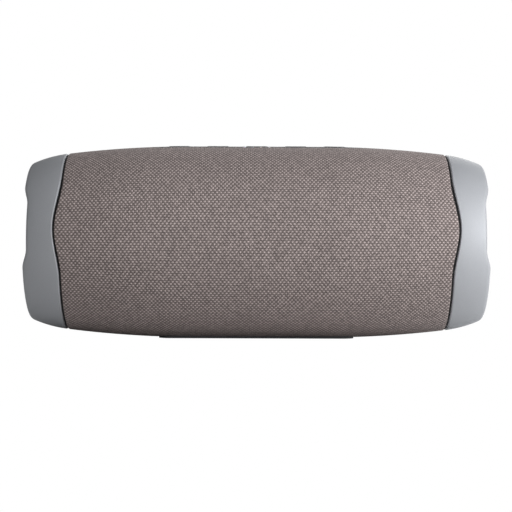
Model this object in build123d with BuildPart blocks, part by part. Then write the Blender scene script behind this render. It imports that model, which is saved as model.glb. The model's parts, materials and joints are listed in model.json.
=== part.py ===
from build123d import *
from math import sqrt
import os

# Portable bluetooth speaker in millimetres: a barrel wrapped in woven fabric between two
# moulded end rings. +X runs along the barrel to its right end, -Y is the front and +Z is up.
# The origin is the middle of the foot's underside, which is what the speaker stands on.

os.makedirs("parts", exist_ok=True)

# Barrel
overall_length = 220.0  # from rim to rim
body_radius = 46.7  # outside of the fabric at the middle
straight_half = 31.6  # half of the stretch where the barrel is a plain cylinder
barrel_radius = 488.0  # radius of the long curve from there to the rings
foot_stand = 0.15  # how far the foot stands below the fabric

# Fabric sleeve and the slotted grille that carries it
sleeve_thickness = 1.0
glue_line = 0.1
grille_wall = 1.8
sound_slot = (19.0, 2.4)
sound_slot_pitch = (22.0, 4.8)
sound_slot_counts = (2, 9)

# End rings
ring_width = 17.8
ring_curve = 60.0  # radius of the ring's outside, from seam to rim
ring_skin = 2.2
rim_depth = 4.4  # solid part of the rim, measured along the barrel
rim_corner = 2.8
rim_width = 5.8  # flat of the rim, from the ring's outside in to the radiator's opening
lip_wall = 1.6
waist_height = 6.6  # height above the axis where the ring is pinched
rim_dip = 2.0
rim_dip_flat = 20.6
rim_dip_ramp = 9.0
seam_wave = 3.0
seam_wave_half = 24.0
seam_gap = 0.9
seal_recess = 0.8
seal_depth = 2.0
seal_clearance = 0.05

# Enclosure halves
grille_clearance = 0.6
ring_clearance = 0.4
enclosure_wall = 2.4
end_flange_depth = 5.0
end_flange_width = 6.4
rib_width = 3.0
rib_setback = 10.0  # from the end of the enclosure to its outer rib
rib_clearance = 0.15
boss_radius = 3.4
boss_setback = 6.2  # from the enclosure's outside to the screw's axis
boss_reach = 10.0  # from the parting plane to the screw's head
screw_head_radius = 2.2
screw_head_height = 1.5
screw_shank_radius = 1.2
screw_length = 16.0
screw_clearance = 0.08
top_screw_setback = 29.0  # from the end of the enclosure
bottom_screw_setbacks = (15.0, 51.0)

# Passive radiators
radiator_recess = 10.0  # from the rim to the frame's outer face
frame_thickness = 3.0
frame_inset = 0.8
frame_step = 1.4  # how far the frame shows inside the ring's opening
surround_seat_width = 1.3
surround_thickness = 0.8
surround_roll = 3.0
surround_width = 6.4
radiator_plate_thickness = 1.8
radiator_land = 1.3
cap_thickness = 1.2
cap_crown = 0.8
cap_clearance = 0.1
weight_radius = 14.0
weight_thickness = 3.6
radiator_travel = 2.5
radiator_screw_count = 6
radiator_screw_inset = 3.8  # from the enclosure's outside
radiator_screw_turn = 30.0
radiator_head_radius = 1.7
radiator_head_height = 1.4
radiator_shank_radius = 1.0
radiator_screw_length = 7.0

# Full-range drivers
driver_spacing = 90.0
driver_seat = 8.0  # from the enclosure's outside at the front to the driver's seat
driver_flange_radius = 25.0
driver_flange_thickness = 1.6
driver_hole_radius = 22.6
driver_collar = 2.2
driver_depth = 31.0
driver_clearance = 0.15
basket_foot_radius = 14.5
front_plate_thickness = 3.4
magnet_radius = 15.0
magnet_bore = 8.0
magnet_thickness = 7.4
yoke_thickness = 3.6
pole_radius = 5.4
coil_gap = 0.25
coil_wall = 0.4
coil_length = 11.0
coil_overhang = 1.5  # behind the front plate
yoke_inset = 1.0
basket_wall = 1.2
basket_slot = (14.0, 8.0)
basket_slot_count = 6
basket_slot_turn = 30.0
basket_rim = 2.0  # left whole in front of the slots
spider_wall = 0.4
spider_clearance = 0.05
spider_steps = 6
spider_wave = 0.5
spider_setback = 2.4  # in front of the front plate
cone_radius = 18.4
cone_thickness = 0.5
driver_roll = 1.9
driver_roll_wall = 0.5
driver_roll_land = 1.6
cone_overlap = 0.4
cone_front = -0.2  # depth of the cone's mouth behind the driver's seat
glue_film = 0.02

# Buttons
button_count = 5
button_pitch = 19.0
button_radius = 5.4
button_clearance = 0.25
button_proud = 0.2
button_travel = 0.6
button_flange = 0.7
button_flange_thickness = 0.8
button_stem_radius = 1.6
button_stem_gap = 0.08
button_panel_edge = 0.8  # outside the lights
button_panel_end = 8.6  # outside the last button
button_panel_corner = 8.0
button_panel_thickness = 4.2
button_panel_flange = 1.6
panel_clearance = 0.15
button_board_thickness = 1.2
button_bay_margin = (4.0, 1.0)  # round the panel
button_bay_depth = 3.7  # from the enclosure's outside at the top to the bay's floor
button_bay_wall = 2.2
button_board_clearance = 1.6
button_board_corner = 2.0
switch_side = 5.0
switch_corner = 0.6
switch_height = 1.8
plunger_radius = 1.2
plunger_height = 0.8
light_count = 4
light_pitch = 4.0
light_radius = 0.6
light_margin = 0.85  # between the lights and the button's opening
light_bar = (14.0, 1.2, 1.1)
light_clearance = 0.08

# Foot
foot_size = (95.0, 18.0)
foot_corner = 6.0
foot_clearance = 0.2
foot_peg_radius = 1.5
foot_peg_pitch = (70.0, 8.0)
foot_peg_length = 2.6

# Port bay at the back
port_bay = (48.0, 16.0)
port_bay_corner = 2.5
port_bezel = 1.6
port_height = -6.0  # middle of the bay, from the barrel's axis
port_bay_depth = 10.7
port_floor_thickness = 2.0
cover_thickness = 2.0
cover_clearance = 0.35
hinge_radius = 1.5
hinge_pin_radius = 0.6
hinge_running_gap = 0.05
hinge_pin_hold = 1.0
nail_notch_radius = 5.0
nail_notch_depth = 1.3

# Boards and sockets
board_size = (60.0, 28.0, 1.6)
board_corner = 1.5
board_clearance = 1.2
usb_shell = (8.94, 7.4, 3.26)
usb_wall = 0.3
usb_corner = 1.2
usb_tongue = (6.7, 0.7)
usb_tongue_setback = 0.8
usb_back_wall = 1.0
usb_x = -10.0
aux_body = (6.2, 13.4, 5.0)
aux_corner = 0.6
aux_nose_radius = 2.5
aux_bore_radius = 1.8
aux_bore_depth = 14.0
aux_x = 10.0
socket_setback = 0.1
socket_clearance = 0.12
shield_size = (16.0, 12.0, 2.2)
shield_corner = 1.0
shield_edge = 0.4
chip_size = (7.0, 7.0, 1.0)
capacitor_radius = 3.1
capacitor_height = 7.0

# Battery
cell_radius = 9.2
cell_length = 65.0
cell_edge = 0.8
cell_gap = 0.8  # between the two cells
cell_floor = 2.5  # from a cell to the enclosure's inside
cell_clearance = 0.15
cradle_end_wall = 3.2
cradle_wall = 2.2
cradle_grip = 1.4  # how far the cradle reaches above the middle of the cells
cradle_clearance = 0.12

# Leads
lead_radius = 0.8
lead_bend = 3.0
battery_lead_bend = 2.6
button_lead_bend = 4.0
lead_rise = 8.0  # height above the board at which leads cross
lead_step = 2.0
lead_inset = 3.0
button_lead_height = (22.0, 30.0)
button_lead_y = 5.0

# Sizes that follow from the ones above
axis_stand = body_radius + foot_stand
rim_x = overall_length / 2
seam_x = rim_x - ring_width
radiator_face_x = rim_x - radiator_recess
enclosure_end_x = radiator_face_x - frame_thickness
grille_inset = sleeve_thickness + glue_line
cut_reach = 2 * body_radius

spine = Axis((0, 0, axis_stand), (1, 0, 0))
side_view = Plane((0, 0, axis_stand), x_dir=(1, 0, 0), z_dir=(0, -1, 0))
top_view = Plane.XY.offset(axis_stand)


def skin_radius(x):
    # Outside radius of the fabric at a distance x from the barrel's middle.
    run = max(abs(x) - straight_half, 0)
    return body_radius - barrel_radius + sqrt(barrel_radius**2 - run**2)


def ring_radius(x):
    # Outside radius of the end ring, which leaves the fabric's line without a break.
    slope = (seam_x - straight_half) / barrel_radius
    centre_x = seam_x - ring_curve * slope
    centre_radius = skin_radius(seam_x) - ring_curve * sqrt(1 - slope**2)
    return centre_radius + sqrt(ring_curve**2 - (x - centre_x) ** 2)


enclosure_radius = min(
    skin_radius(seam_x) - grille_inset - grille_wall - grille_clearance,
    ring_radius(enclosure_end_x) - ring_skin - ring_clearance,
)
enclosure_bore = enclosure_radius - enclosure_wall
lip_radius = ring_radius(rim_x) - rim_width
light_offset = button_radius + button_clearance + light_margin + light_radius
button_panel = (
    (button_count - 1) * button_pitch + 2 * (button_radius + button_panel_end),
    2 * (light_offset + light_radius + button_panel_edge),
)
port_floor_y = body_radius - port_bay_depth


def save(builder, node):
    builder.part.label = node
    export_step(builder.part, f"parts/{node}.step")


def save_pair(builder, node):
    # The right-hand piece, and its mirror image on the left.
    save(builder, f"{node}_right")
    with BuildPart() as mirrored:
        mirror(builder.part, about=Plane.YZ)
    save(mirrored, f"{node}_left")


def barrel_face(end, outer_inset, inner_inset=None):
    # Half section of the barrel, or of a shell in it, between -end and +end.
    middle = (straight_half + end) / 2

    def half(side, inset):
        return [
            (side * straight_half, body_radius - inset),
            (side * middle, skin_radius(middle) - inset),
            (side * end, skin_radius(end) - inset),
        ]

    with BuildSketch(side_view) as section:
        with BuildLine():
            for inset in (outer_inset, inner_inset):
                if inset is not None:
                    Line(half(-1, inset)[0], half(1, inset)[0])
                    for side in (-1, 1):
                        ThreePointArc(*half(side, inset))
            floor = 0 if inner_inset is None else skin_radius(end) - inner_inset
            for side in (-1, 1):
                Line((side * end, skin_radius(end) - outer_inset), (side * end, floor))
            if inner_inset is None:
                Line((-end, 0), (end, 0))
        make_face()
    return section.sketch.faces()


def ring_face(inner, outer, low, high):
    # Section of a plain ring around the barrel's axis, from x = low to x = high.
    with BuildSketch(side_view) as section:
        with Locations(((low + high) / 2, (inner + outer) / 2)):
            Rectangle(high - low, outer - inner)
    return section.sketch.faces()


def seam_face(gap):
    # Everything between the two seams, seen from the front. Each seam swells towards its
    # end of the barrel at the rings' waist, and stays the given gap away from the ring.
    edge = seam_x - gap
    low = waist_height - seam_wave_half
    high = waist_height + seam_wave_half
    with BuildSketch(side_view) as outline:
        with BuildLine():
            for side in (-1, 1):
                Line((side * edge, -cut_reach), (side * edge, low))
                Spline(
                    (side * edge, low),
                    (side * (edge + seam_wave), waist_height),
                    (side * edge, high),
                    tangents=[(0, 1), (0, 1)],
                )
                Line((side * edge, high), (side * edge, cut_reach))
            Line((-edge, -cut_reach), (edge, -cut_reach))
            Line((-edge, cut_reach), (edge, cut_reach))
        make_face()
    return outline.sketch.faces()


def dip_face():
    # The shallow dip in the rim at the waist: a flat with a soft ramp at each end.
    flat = rim_dip_flat / 2
    foot = flat + rim_dip_ramp
    with BuildSketch(side_view) as outline:
        with BuildLine():
            for side in (-1, 1):
                Spline(
                    (rim_x, waist_height + side * foot),
                    (rim_x - rim_dip, waist_height + side * flat),
                    tangents=[(0, -side), (0, -side)],
                )
                Line((rim_x, waist_height + side * foot), (rim_x + 1, waist_height + side * foot))
            Line((rim_x - rim_dip, waist_height - flat), (rim_x - rim_dip, waist_height + flat))
            Line((rim_x + 1, waist_height - foot), (rim_x + 1, waist_height + foot))
        make_face()
    return outline.sketch.faces()


def window_face(plane, size, corner, grow=0.0, centre=(0, 0)):
    # A rounded opening or patch, made larger all round by grow.
    with BuildSketch(plane) as outline:
        with Locations(centre):
            RectangleRounded(size[0] + 2 * grow, size[1] + 2 * grow, corner + grow)
    return outline.sketch.faces()


def button_window(grow=0.0):
    return window_face(top_view, button_panel, button_panel_corner, grow)


def foot_window(grow=0.0):
    return window_face(top_view, foot_size, foot_corner, grow)


def port_window(grow=0.0):
    return window_face(side_view, port_bay, port_bay_corner, grow, (0, port_height))


# Fabric sleeve: one woven tube, open over the buttons, the foot and the port bay
with BuildPart() as fabric_sleeve:
    revolve(barrel_face(seam_x + seam_wave, 0, sleeve_thickness), axis=spine)
    extrude(seam_face(seam_gap), amount=cut_reach, both=True, mode=Mode.INTERSECT)
    extrude(button_window(panel_clearance), amount=cut_reach, mode=Mode.SUBTRACT)
    extrude(foot_window(foot_clearance), amount=-cut_reach, mode=Mode.SUBTRACT)
    extrude(port_window(port_bezel + panel_clearance), amount=-cut_reach, mode=Mode.SUBTRACT)
save(fabric_sleeve, "fabric_sleeve")

# Grille: the stiff shell under the fabric, in a front half with sound slots and a rear half
with BuildPart() as grille:
    revolve(
        barrel_face(seam_x + seam_wave, grille_inset, grille_inset + grille_wall),
        axis=spine,
    )
    extrude(seam_face(seam_gap), amount=cut_reach, both=True, mode=Mode.INTERSECT)
    extrude(button_window(panel_clearance), amount=cut_reach, mode=Mode.SUBTRACT)
    extrude(port_window(port_bezel + panel_clearance), amount=-cut_reach, mode=Mode.SUBTRACT)


def foot_peg_holes():
    # Round holes for the foot's pegs, seen from below.
    with BuildSketch(Plane.XY) as holes:
        with GridLocations(*foot_peg_pitch, 2, 2):
            Circle(foot_peg_radius + foot_clearance)
    return holes.sketch.faces()


with BuildPart() as grille_rear:
    add(grille.part)
    split(bisect_by=Plane.XZ, keep=Keep.BOTTOM)
    extrude(foot_peg_holes(), amount=body_radius / 2, mode=Mode.SUBTRACT)
save(grille_rear, "grille_rear")

with BuildPart() as grille_front:
    add(grille.part)
    split(bisect_by=Plane.XZ, keep=Keep.TOP)
    extrude(foot_peg_holes(), amount=body_radius / 2, mode=Mode.SUBTRACT)
    with BuildSketch(side_view):
        with Locations((-driver_spacing / 2, 0), (driver_spacing / 2, 0)):
            with GridLocations(*sound_slot_pitch, *sound_slot_counts):
                SlotOverall(*sound_slot)
    extrude(amount=cut_reach, mode=Mode.SUBTRACT)
save(grille_front, "grille_front")

# End ring: a channel open towards the barrel, with a skin, a solid rim and a lip
with BuildPart() as end_ring:
    ring_middle = (seam_x + rim_x) / 2
    channel_x = rim_x - rim_depth
    channel_middle = (seam_x + channel_x) / 2
    lip_back_x = radiator_face_x + panel_clearance
    lip_outer = lip_radius + lip_wall
    with BuildSketch(side_view):
        with BuildLine():
            ThreePointArc(
                (seam_x, ring_radius(seam_x)),
                (ring_middle, ring_radius(ring_middle)),
                (rim_x, ring_radius(rim_x)),
            )
            Polyline(
                (rim_x, ring_radius(rim_x)),
                (rim_x, lip_radius),
                (lip_back_x, lip_radius),
                (lip_back_x, lip_outer),
                (channel_x, lip_outer),
                (channel_x, ring_radius(channel_x) - ring_skin),
            )
            ThreePointArc(
                (channel_x, ring_radius(channel_x) - ring_skin),
                (channel_middle, ring_radius(channel_middle) - ring_skin),
                (seam_x, ring_radius(seam_x) - ring_skin),
            )
            Line((seam_x, ring_radius(seam_x) - ring_skin), (seam_x, ring_radius(seam_x)))
        rim_face = make_face()
        rim_points = rim_face.vertices().group_by(Axis.X)[-1].sort_by(Axis.Z)
        fillet(rim_points[-1], rim_corner)
        fillet(rim_points[0], lip_wall / 2)
    revolve(axis=spine)
    extrude(seam_face(0), amount=cut_reach, both=True, mode=Mode.SUBTRACT)
    extrude(dip_face(), amount=cut_reach, both=True, mode=Mode.SUBTRACT)
save_pair(end_ring, "end_ring")

# Seam seal: the dark strip that fills the groove between ring and fabric
with BuildPart() as seam_seal:
    revolve(
        barrel_face(seam_x + seam_wave, seal_recess, seal_recess + seal_depth),
        axis=spine,
    )
    extrude(seam_face(seal_clearance), amount=cut_reach, both=True, mode=Mode.INTERSECT)
    extrude(
        seam_face(seam_gap - seal_clearance),
        amount=cut_reach,
        both=True,
        mode=Mode.SUBTRACT,
    )
    split(bisect_by=Plane.YZ, keep=Keep.TOP)
save_pair(seam_seal, "seam_seal")

# Enclosure: the sealed tube that the drivers, radiators, battery and boards fix to
driver_seat_y = enclosure_radius - driver_seat
boss_height = enclosure_radius - boss_setback
boss_points = [(side * (enclosure_end_x - top_screw_setback), boss_height) for side in (-1, 1)]
boss_points += [
    (side * (enclosure_end_x - setback), -boss_height)
    for side in (-1, 1)
    for setback in bottom_screw_setbacks
]
bay_floor = enclosure_radius - button_bay_depth
button_bay = (
    button_panel[0] + 2 * button_bay_margin[0],
    button_panel[1] + 2 * button_bay_margin[1],
)
radiator_screw_radius = enclosure_radius - radiator_screw_inset
rib_x = enclosure_end_x - rib_setback
rib_radius = skin_radius(rib_x) - grille_inset - grille_wall - rib_clearance


def enclosure_face():
    # Section of the enclosure's shell, with a flange at each end and the ribs that hold
    # the grille.
    flange_x = enclosure_end_x - end_flange_depth / 2
    flange_height = enclosure_radius - end_flange_width / 2
    with BuildSketch(side_view) as section:
        with Locations((0, (enclosure_bore + enclosure_radius) / 2)):
            Rectangle(2 * enclosure_end_x, enclosure_wall)
        with Locations((-flange_x, flange_height), (flange_x, flange_height)):
            Rectangle(end_flange_depth, end_flange_width)
        with Locations(*[
            (side * (rib_x - rib_width / 2), (enclosure_bore + rib_radius) / 2)
            for side in (-1, 1)
        ]):
            Rectangle(rib_width, rib_radius - enclosure_bore)
    return section.sketch.faces()


with BuildPart() as enclosure:
    with BuildSketch(side_view):
        with Locations(*boss_points):
            Circle(boss_radius)
    extrude(amount=enclosure_radius, both=True)
    with BuildSketch(top_view.offset(bay_floor - button_bay_wall)):
        Rectangle(button_bay[0] + 2 * button_bay_wall, button_bay[1] + 2 * button_bay_wall)
    extrude(amount=button_bay_depth + button_bay_wall)
    revolve(ring_face(0, enclosure_radius, -enclosure_end_x, enclosure_end_x), axis=spine,
            mode=Mode.INTERSECT)
    revolve(enclosure_face(), axis=spine)
    with BuildSketch(top_view.offset(bay_floor)):
        Rectangle(*button_bay)
    extrude(amount=cut_reach, mode=Mode.SUBTRACT)
    with BuildSketch(Plane.YZ.offset(enclosure_end_x)):
        with Locations((0, axis_stand)):
            with PolarLocations(radiator_screw_radius, radiator_screw_count, radiator_screw_turn):
                Circle(radiator_shank_radius + screw_clearance)
    extrude(amount=-end_flange_depth, mode=Mode.SUBTRACT)
    with BuildSketch(Plane.YZ.offset(-enclosure_end_x)):
        with Locations((0, axis_stand)):
            with PolarLocations(radiator_screw_radius, radiator_screw_count, radiator_screw_turn):
                Circle(radiator_shank_radius + screw_clearance)
    extrude(amount=end_flange_depth, mode=Mode.SUBTRACT)

with BuildPart() as front_enclosure:
    add(enclosure.part)
    split(bisect_by=Plane.XZ, keep=Keep.TOP)
    with BuildSketch(side_view.offset(driver_seat_y - 2 * driver_collar)):
        with Locations((-driver_spacing / 2, 0), (driver_spacing / 2, 0)):
            Circle(driver_flange_radius + driver_collar)
    extrude(amount=2 * driver_collar + driver_flange_thickness)
    with BuildSketch(side_view):
        with Locations((-driver_spacing / 2, 0), (driver_spacing / 2, 0)):
            Circle(driver_hole_radius)
    extrude(amount=cut_reach, mode=Mode.SUBTRACT)
    with BuildSketch(side_view.offset(driver_seat_y)):
        with Locations((-driver_spacing / 2, 0), (driver_spacing / 2, 0)):
            Circle(driver_flange_radius + driver_clearance)
    extrude(amount=cut_reach, mode=Mode.SUBTRACT)
    with BuildSketch(side_view):
        with Locations(*boss_points):
            Circle(screw_shank_radius + screw_clearance)
    extrude(amount=screw_length - boss_reach + 1, mode=Mode.SUBTRACT)
save(front_enclosure, "front_enclosure")

with BuildPart() as rear_enclosure:
    add(enclosure.part)
    split(bisect_by=Plane.XZ, keep=Keep.BOTTOM)
    extrude(port_window(port_bezel + panel_clearance), amount=-cut_reach, mode=Mode.SUBTRACT)
    with BuildSketch(side_view):
        with Locations(*boss_points):
            Circle(screw_shank_radius + screw_clearance)
    extrude(amount=-cut_reach, mode=Mode.SUBTRACT)
    with BuildSketch(side_view.offset(-boss_reach)):
        with Locations(*boss_points):
            Circle(screw_head_radius + screw_clearance)
    extrude(amount=-cut_reach, mode=Mode.SUBTRACT)
save(rear_enclosure, "rear_enclosure")

with BuildPart() as enclosure_screws:
    with BuildSketch(side_view.offset(-boss_reach)):
        with Locations(*boss_points):
            Circle(screw_shank_radius)
    extrude(amount=screw_length)
    with BuildSketch(side_view.offset(-boss_reach)):
        with Locations(*boss_points):
            Circle(screw_head_radius)
    extrude(amount=-screw_head_height)
save(enclosure_screws, "enclosure_screws")

# Passive radiator: a weighted plate on a rubber half roll, in a frame that closes the tube
frame_radius = enclosure_radius - frame_inset
frame_opening = lip_radius - frame_step
radiator_radius = frame_opening - surround_width
seat_radius = frame_opening + surround_seat_width
seat_x = radiator_face_x - surround_thickness
plate_back_x = seat_x - radiator_plate_thickness

with BuildPart() as radiator_frame:
    revolve(
        ring_face(frame_opening, frame_radius, enclosure_end_x, radiator_face_x), axis=spine
    )
    revolve(
        ring_face(0, seat_radius, seat_x, radiator_face_x + 1),
        axis=spine,
        mode=Mode.SUBTRACT,
    )
    with BuildSketch(Plane.YZ.offset(radiator_face_x)):
        with Locations((0, axis_stand)):
            with PolarLocations(radiator_screw_radius, radiator_screw_count, radiator_screw_turn):
                Circle(radiator_shank_radius + screw_clearance)
    extrude(amount=-frame_thickness, mode=Mode.SUBTRACT)
save_pair(radiator_frame, "radiator_frame")


def roll_face(inner, outer, base, height, thickness, land):
    # Section of a rubber half roll with a flat land at each edge, drawn as along, radius.
    middle = (inner + outer) / 2
    with BuildSketch(side_view) as section:
        with BuildLine():
            ThreePointArc((base, inner), (base + height, middle), (base, outer))
            Polyline(
                (base, outer),
                (base, outer + land),
                (base + thickness, outer + land),
                (base + thickness, outer),
            )
            ThreePointArc(
                (base + thickness, outer),
                (base + height + thickness, middle),
                (base + thickness, inner),
            )
            Polyline(
                (base + thickness, inner),
                (base + thickness, inner - land),
                (base, inner - land),
                (base, inner),
            )
        make_face()
    return section.sketch.faces()


with BuildPart() as radiator_surround:
    revolve(
        roll_face(
            radiator_radius,
            frame_opening,
            seat_x,
            surround_roll,
            surround_thickness,
            radiator_land,
        ),
        axis=spine,
    )
save_pair(radiator_surround, "radiator_surround")

with BuildPart() as radiator_plate:
    revolve(ring_face(0, radiator_radius, plate_back_x, seat_x), axis=spine)
save_pair(radiator_plate, "radiator_plate")

with BuildPart() as radiator_weight:
    revolve(
        ring_face(0, weight_radius, plate_back_x - weight_thickness, plate_back_x),
        axis=spine,
    )
save_pair(radiator_weight, "radiator_weight")

cap_radius = radiator_radius - radiator_land - cap_clearance
cap_face_x = seat_x + cap_thickness
with BuildPart() as radiator_cap:
    with BuildSketch(side_view):
        with BuildLine():
            Polyline((cap_face_x, cap_radius), (seat_x, cap_radius), (seat_x, 0))
            Line((seat_x, 0), (cap_face_x + cap_crown, 0))
            ThreePointArc(
                (cap_face_x + cap_crown, 0),
                (cap_face_x + 3 * cap_crown / 4, cap_radius / 2),
                (cap_face_x, cap_radius),
            )
        make_face()
    revolve(axis=spine)
save_pair(radiator_cap, "radiator_cap")

with BuildPart() as radiator_screws:
    for side in (-1, 1):
        with BuildSketch(Plane.YZ.offset(side * radiator_face_x)):
            with Locations((0, axis_stand)):
                with PolarLocations(radiator_screw_radius, radiator_screw_count, radiator_screw_turn):
                    Circle(radiator_shank_radius)
        extrude(amount=-side * radiator_screw_length)
        with BuildSketch(Plane.YZ.offset(side * radiator_face_x)):
            with Locations((0, axis_stand)):
                with PolarLocations(radiator_screw_radius, radiator_screw_count, radiator_screw_turn):
                    Circle(radiator_head_radius)
        extrude(amount=side * radiator_head_height)
save(radiator_screws, "radiator_screws")

# Full-range driver, drawn as depth behind its seat against radius, then turned to face -Y
driver_axis = Axis((driver_spacing / 2, 0, axis_stand), (0, 1, 0))
driver_view = Plane(
    (driver_spacing / 2, -driver_seat_y, axis_stand), x_dir=(0, 1, 0), z_dir=(0, 0, 1)
)
front_plate_depth = driver_depth - yoke_thickness - magnet_thickness - front_plate_thickness
magnet_depth = front_plate_depth + front_plate_thickness
yoke_depth = magnet_depth + magnet_thickness
coil_inner = pole_radius + coil_gap
coil_outer = coil_inner + coil_wall
plate_bore = coil_outer + coil_gap
coil_front = magnet_depth + coil_overhang - coil_length
spider_depth = front_plate_depth - spider_setback


def driver_ring(inner, outer, front, back):
    with BuildSketch(driver_view) as section:
        with Locations(((front + back) / 2, -(inner + outer) / 2)):
            Rectangle(back - front, outer - inner)
    return section.sketch.faces()


def driver_outline(*points):
    # A turned section from points given as depth, radius.
    with BuildSketch(driver_view) as section:
        with BuildLine():
            Polyline(*[(depth, -radius) for depth, radius in points], close=True)
        make_face()
    return section.sketch.faces()


basket_mouth = driver_hole_radius - 2 * driver_clearance
with BuildPart() as driver_basket:
    revolve(
        driver_outline(
            (-driver_flange_thickness, driver_flange_radius),
            (0, driver_flange_radius),
            (0, basket_mouth),
            (front_plate_depth, basket_foot_radius),
            (magnet_depth, basket_foot_radius),
            (magnet_depth, plate_bore),
            (front_plate_depth, plate_bore),
            (front_plate_depth, basket_foot_radius - 2 * basket_wall),
            (front_plate_depth - basket_wall, basket_foot_radius - basket_wall),
            (0, basket_mouth - basket_wall),
            (-driver_flange_thickness, basket_mouth - basket_wall),
        ),
        axis=driver_axis,
    )
    with BuildSketch(Plane((driver_spacing / 2, 0, axis_stand), z_dir=(0, -1, 0))):
        with PolarLocations(basket_mouth - basket_wall, basket_slot_count, basket_slot_turn):
            SlotOverall(*basket_slot, rotation=90)
    extrude(amount=driver_seat_y - basket_rim, mode=Mode.SUBTRACT)
save_pair(driver_basket, "driver_basket")

with BuildPart() as driver_magnet:
    revolve(driver_ring(magnet_bore, magnet_radius, magnet_depth, yoke_depth), axis=driver_axis)
save_pair(driver_magnet, "driver_magnet")

with BuildPart() as driver_yoke:
    revolve(driver_ring(0, magnet_radius - yoke_inset, yoke_depth, driver_depth), axis=driver_axis)
    revolve(driver_ring(0, pole_radius, front_plate_depth, yoke_depth), axis=driver_axis)
save_pair(driver_yoke, "driver_yoke")

with BuildPart() as driver_voice_coil:
    revolve(
        driver_ring(coil_inner, coil_outer, coil_front, coil_front + coil_length),
        axis=driver_axis,
    )
save_pair(driver_voice_coil, "driver_voice_coil")

spider_outer = basket_foot_radius - 2 * basket_wall
with BuildPart() as driver_spider:
    spider_inner = coil_outer + spider_clearance
    spider_pitch = (spider_outer - spider_inner) / spider_steps
    wave = [
        (spider_depth + spider_wave * (step % 2), spider_inner + step * spider_pitch)
        for step in range(spider_steps + 1)
    ]
    back = [(depth + spider_wall, radius) for depth, radius in reversed(wave)]
    revolve(driver_outline(*wave, *back), axis=driver_axis)
save_pair(driver_spider, "driver_spider")

with BuildPart() as driver_cone:
    neck = coil_outer
    neck_depth = coil_front
    revolve(
        driver_outline(
            (cone_front, cone_radius),
            (cone_front + cone_thickness, cone_radius),
            (neck_depth, neck),
            (neck_depth, 0),
            (neck_depth - cone_thickness, 0),
            (neck_depth - cone_thickness, neck - cone_thickness),
        ),
        axis=driver_axis,
    )
save_pair(driver_cone, "driver_cone")

with BuildPart() as driver_surround:
    roll_inner = cone_radius
    roll_outer = driver_hole_radius - driver_clearance
    roll_base = -driver_flange_thickness
    roll_middle = (roll_inner + roll_outer) / 2
    rubber = driver_roll_wall
    cone_glue = cone_front - glue_film
    with BuildSketch(driver_view):
        with BuildLine():
            ThreePointArc(
                (roll_base, -roll_inner),
                (roll_base - driver_roll, -roll_middle),
                (roll_base, -roll_outer),
            )
            Polyline(
                (roll_base, -roll_outer),
                (roll_base, -roll_outer - driver_roll_land),
                (roll_base - rubber, -roll_outer - driver_roll_land),
                (roll_base - rubber, -roll_outer),
            )
            ThreePointArc(
                (roll_base - rubber, -roll_outer),
                (roll_base - driver_roll - rubber, -roll_middle),
                (roll_base - rubber, -roll_inner),
            )
            Polyline(
                (roll_base - rubber, -roll_inner),
                (roll_base - rubber, -roll_inner + cone_overlap),
                (cone_glue, -roll_inner + cone_overlap),
                (cone_glue, -roll_inner),
                (roll_base, -roll_inner),
            )
        make_face()
    revolve(axis=driver_axis)
save_pair(driver_surround, "driver_surround")

# Button panel on top, flush with the fabric, with its buttons, switches and charge lights
button_points = [
    ((index - (button_count - 1) / 2) * button_pitch, 0) for index in range(button_count)
]
light_points = [
    ((index - (light_count - 1) / 2) * light_pitch, -light_offset) for index in range(light_count)
]
board_top = bay_floor + button_board_thickness
plunger_top = board_top + switch_height + plunger_height
stem_bottom = plunger_top + button_stem_gap + button_travel
panel_bottom = body_radius - button_panel_thickness
flange_radius = button_radius + button_flange
flange_top = sqrt(panel_bottom**2 - flange_radius**2) - button_stem_gap
light_bar_top = sqrt(panel_bottom**2 - (light_offset + light_bar[1]) ** 2) - light_clearance

with BuildPart() as button_panel_shell:
    extrude(button_window(), amount=cut_reach)
    revolve(barrel_face(seam_x, 0, button_panel_thickness), axis=spine, mode=Mode.INTERSECT)
with BuildPart() as button_panel_flange_shell:
    extrude(button_window(button_panel_flange), amount=cut_reach)
    revolve(
        barrel_face(
            seam_x,
            grille_inset + grille_wall + rib_clearance,
            button_panel_thickness,
        ),
        axis=spine,
        mode=Mode.INTERSECT,
    )
with BuildPart() as button_frame:
    add(button_panel_shell.part)
    add(button_panel_flange_shell.part)
    with BuildSketch(top_view):
        with Locations(*button_points):
            Circle(button_radius + button_clearance)
        with Locations(*light_points):
            Circle(light_radius + light_clearance)
    extrude(amount=cut_reach, mode=Mode.SUBTRACT)
save(button_frame, "button_frame")

button_names = ("power", "pairing", "volume_down", "volume_up", "play")
for button_name, button_point in zip(button_names, button_points):
    with BuildPart() as button:
        with BuildSketch(top_view.offset(flange_top - button_flange_thickness)):
            with Locations(button_point):
                Circle(button_radius)
        extrude(amount=body_radius)
        revolve(barrel_face(seam_x, -button_proud), axis=spine, mode=Mode.INTERSECT)
        with BuildSketch(top_view.offset(flange_top - button_flange_thickness)):
            with Locations(button_point):
                Circle(flange_radius)
        extrude(amount=button_flange_thickness)
        with BuildSketch(top_view.offset(stem_bottom)):
            with Locations(button_point):
                Circle(button_stem_radius)
        extrude(amount=flange_top - stem_bottom)
    save(button, f"{button_name}_button")

with BuildPart() as light_guide:
    with BuildSketch(top_view.offset(light_bar_top - light_bar[2])):
        with Locations(*light_points):
            Circle(light_radius)
    extrude(amount=body_radius)
    revolve(barrel_face(seam_x, 0), axis=spine, mode=Mode.INTERSECT)
    with BuildSketch(top_view.offset(light_bar_top - light_bar[2])):
        with Locations((0, -light_offset)):
            Rectangle(light_bar[0], light_bar[1])
    extrude(amount=light_bar[2])
save(light_guide, "light_guide")

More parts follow.
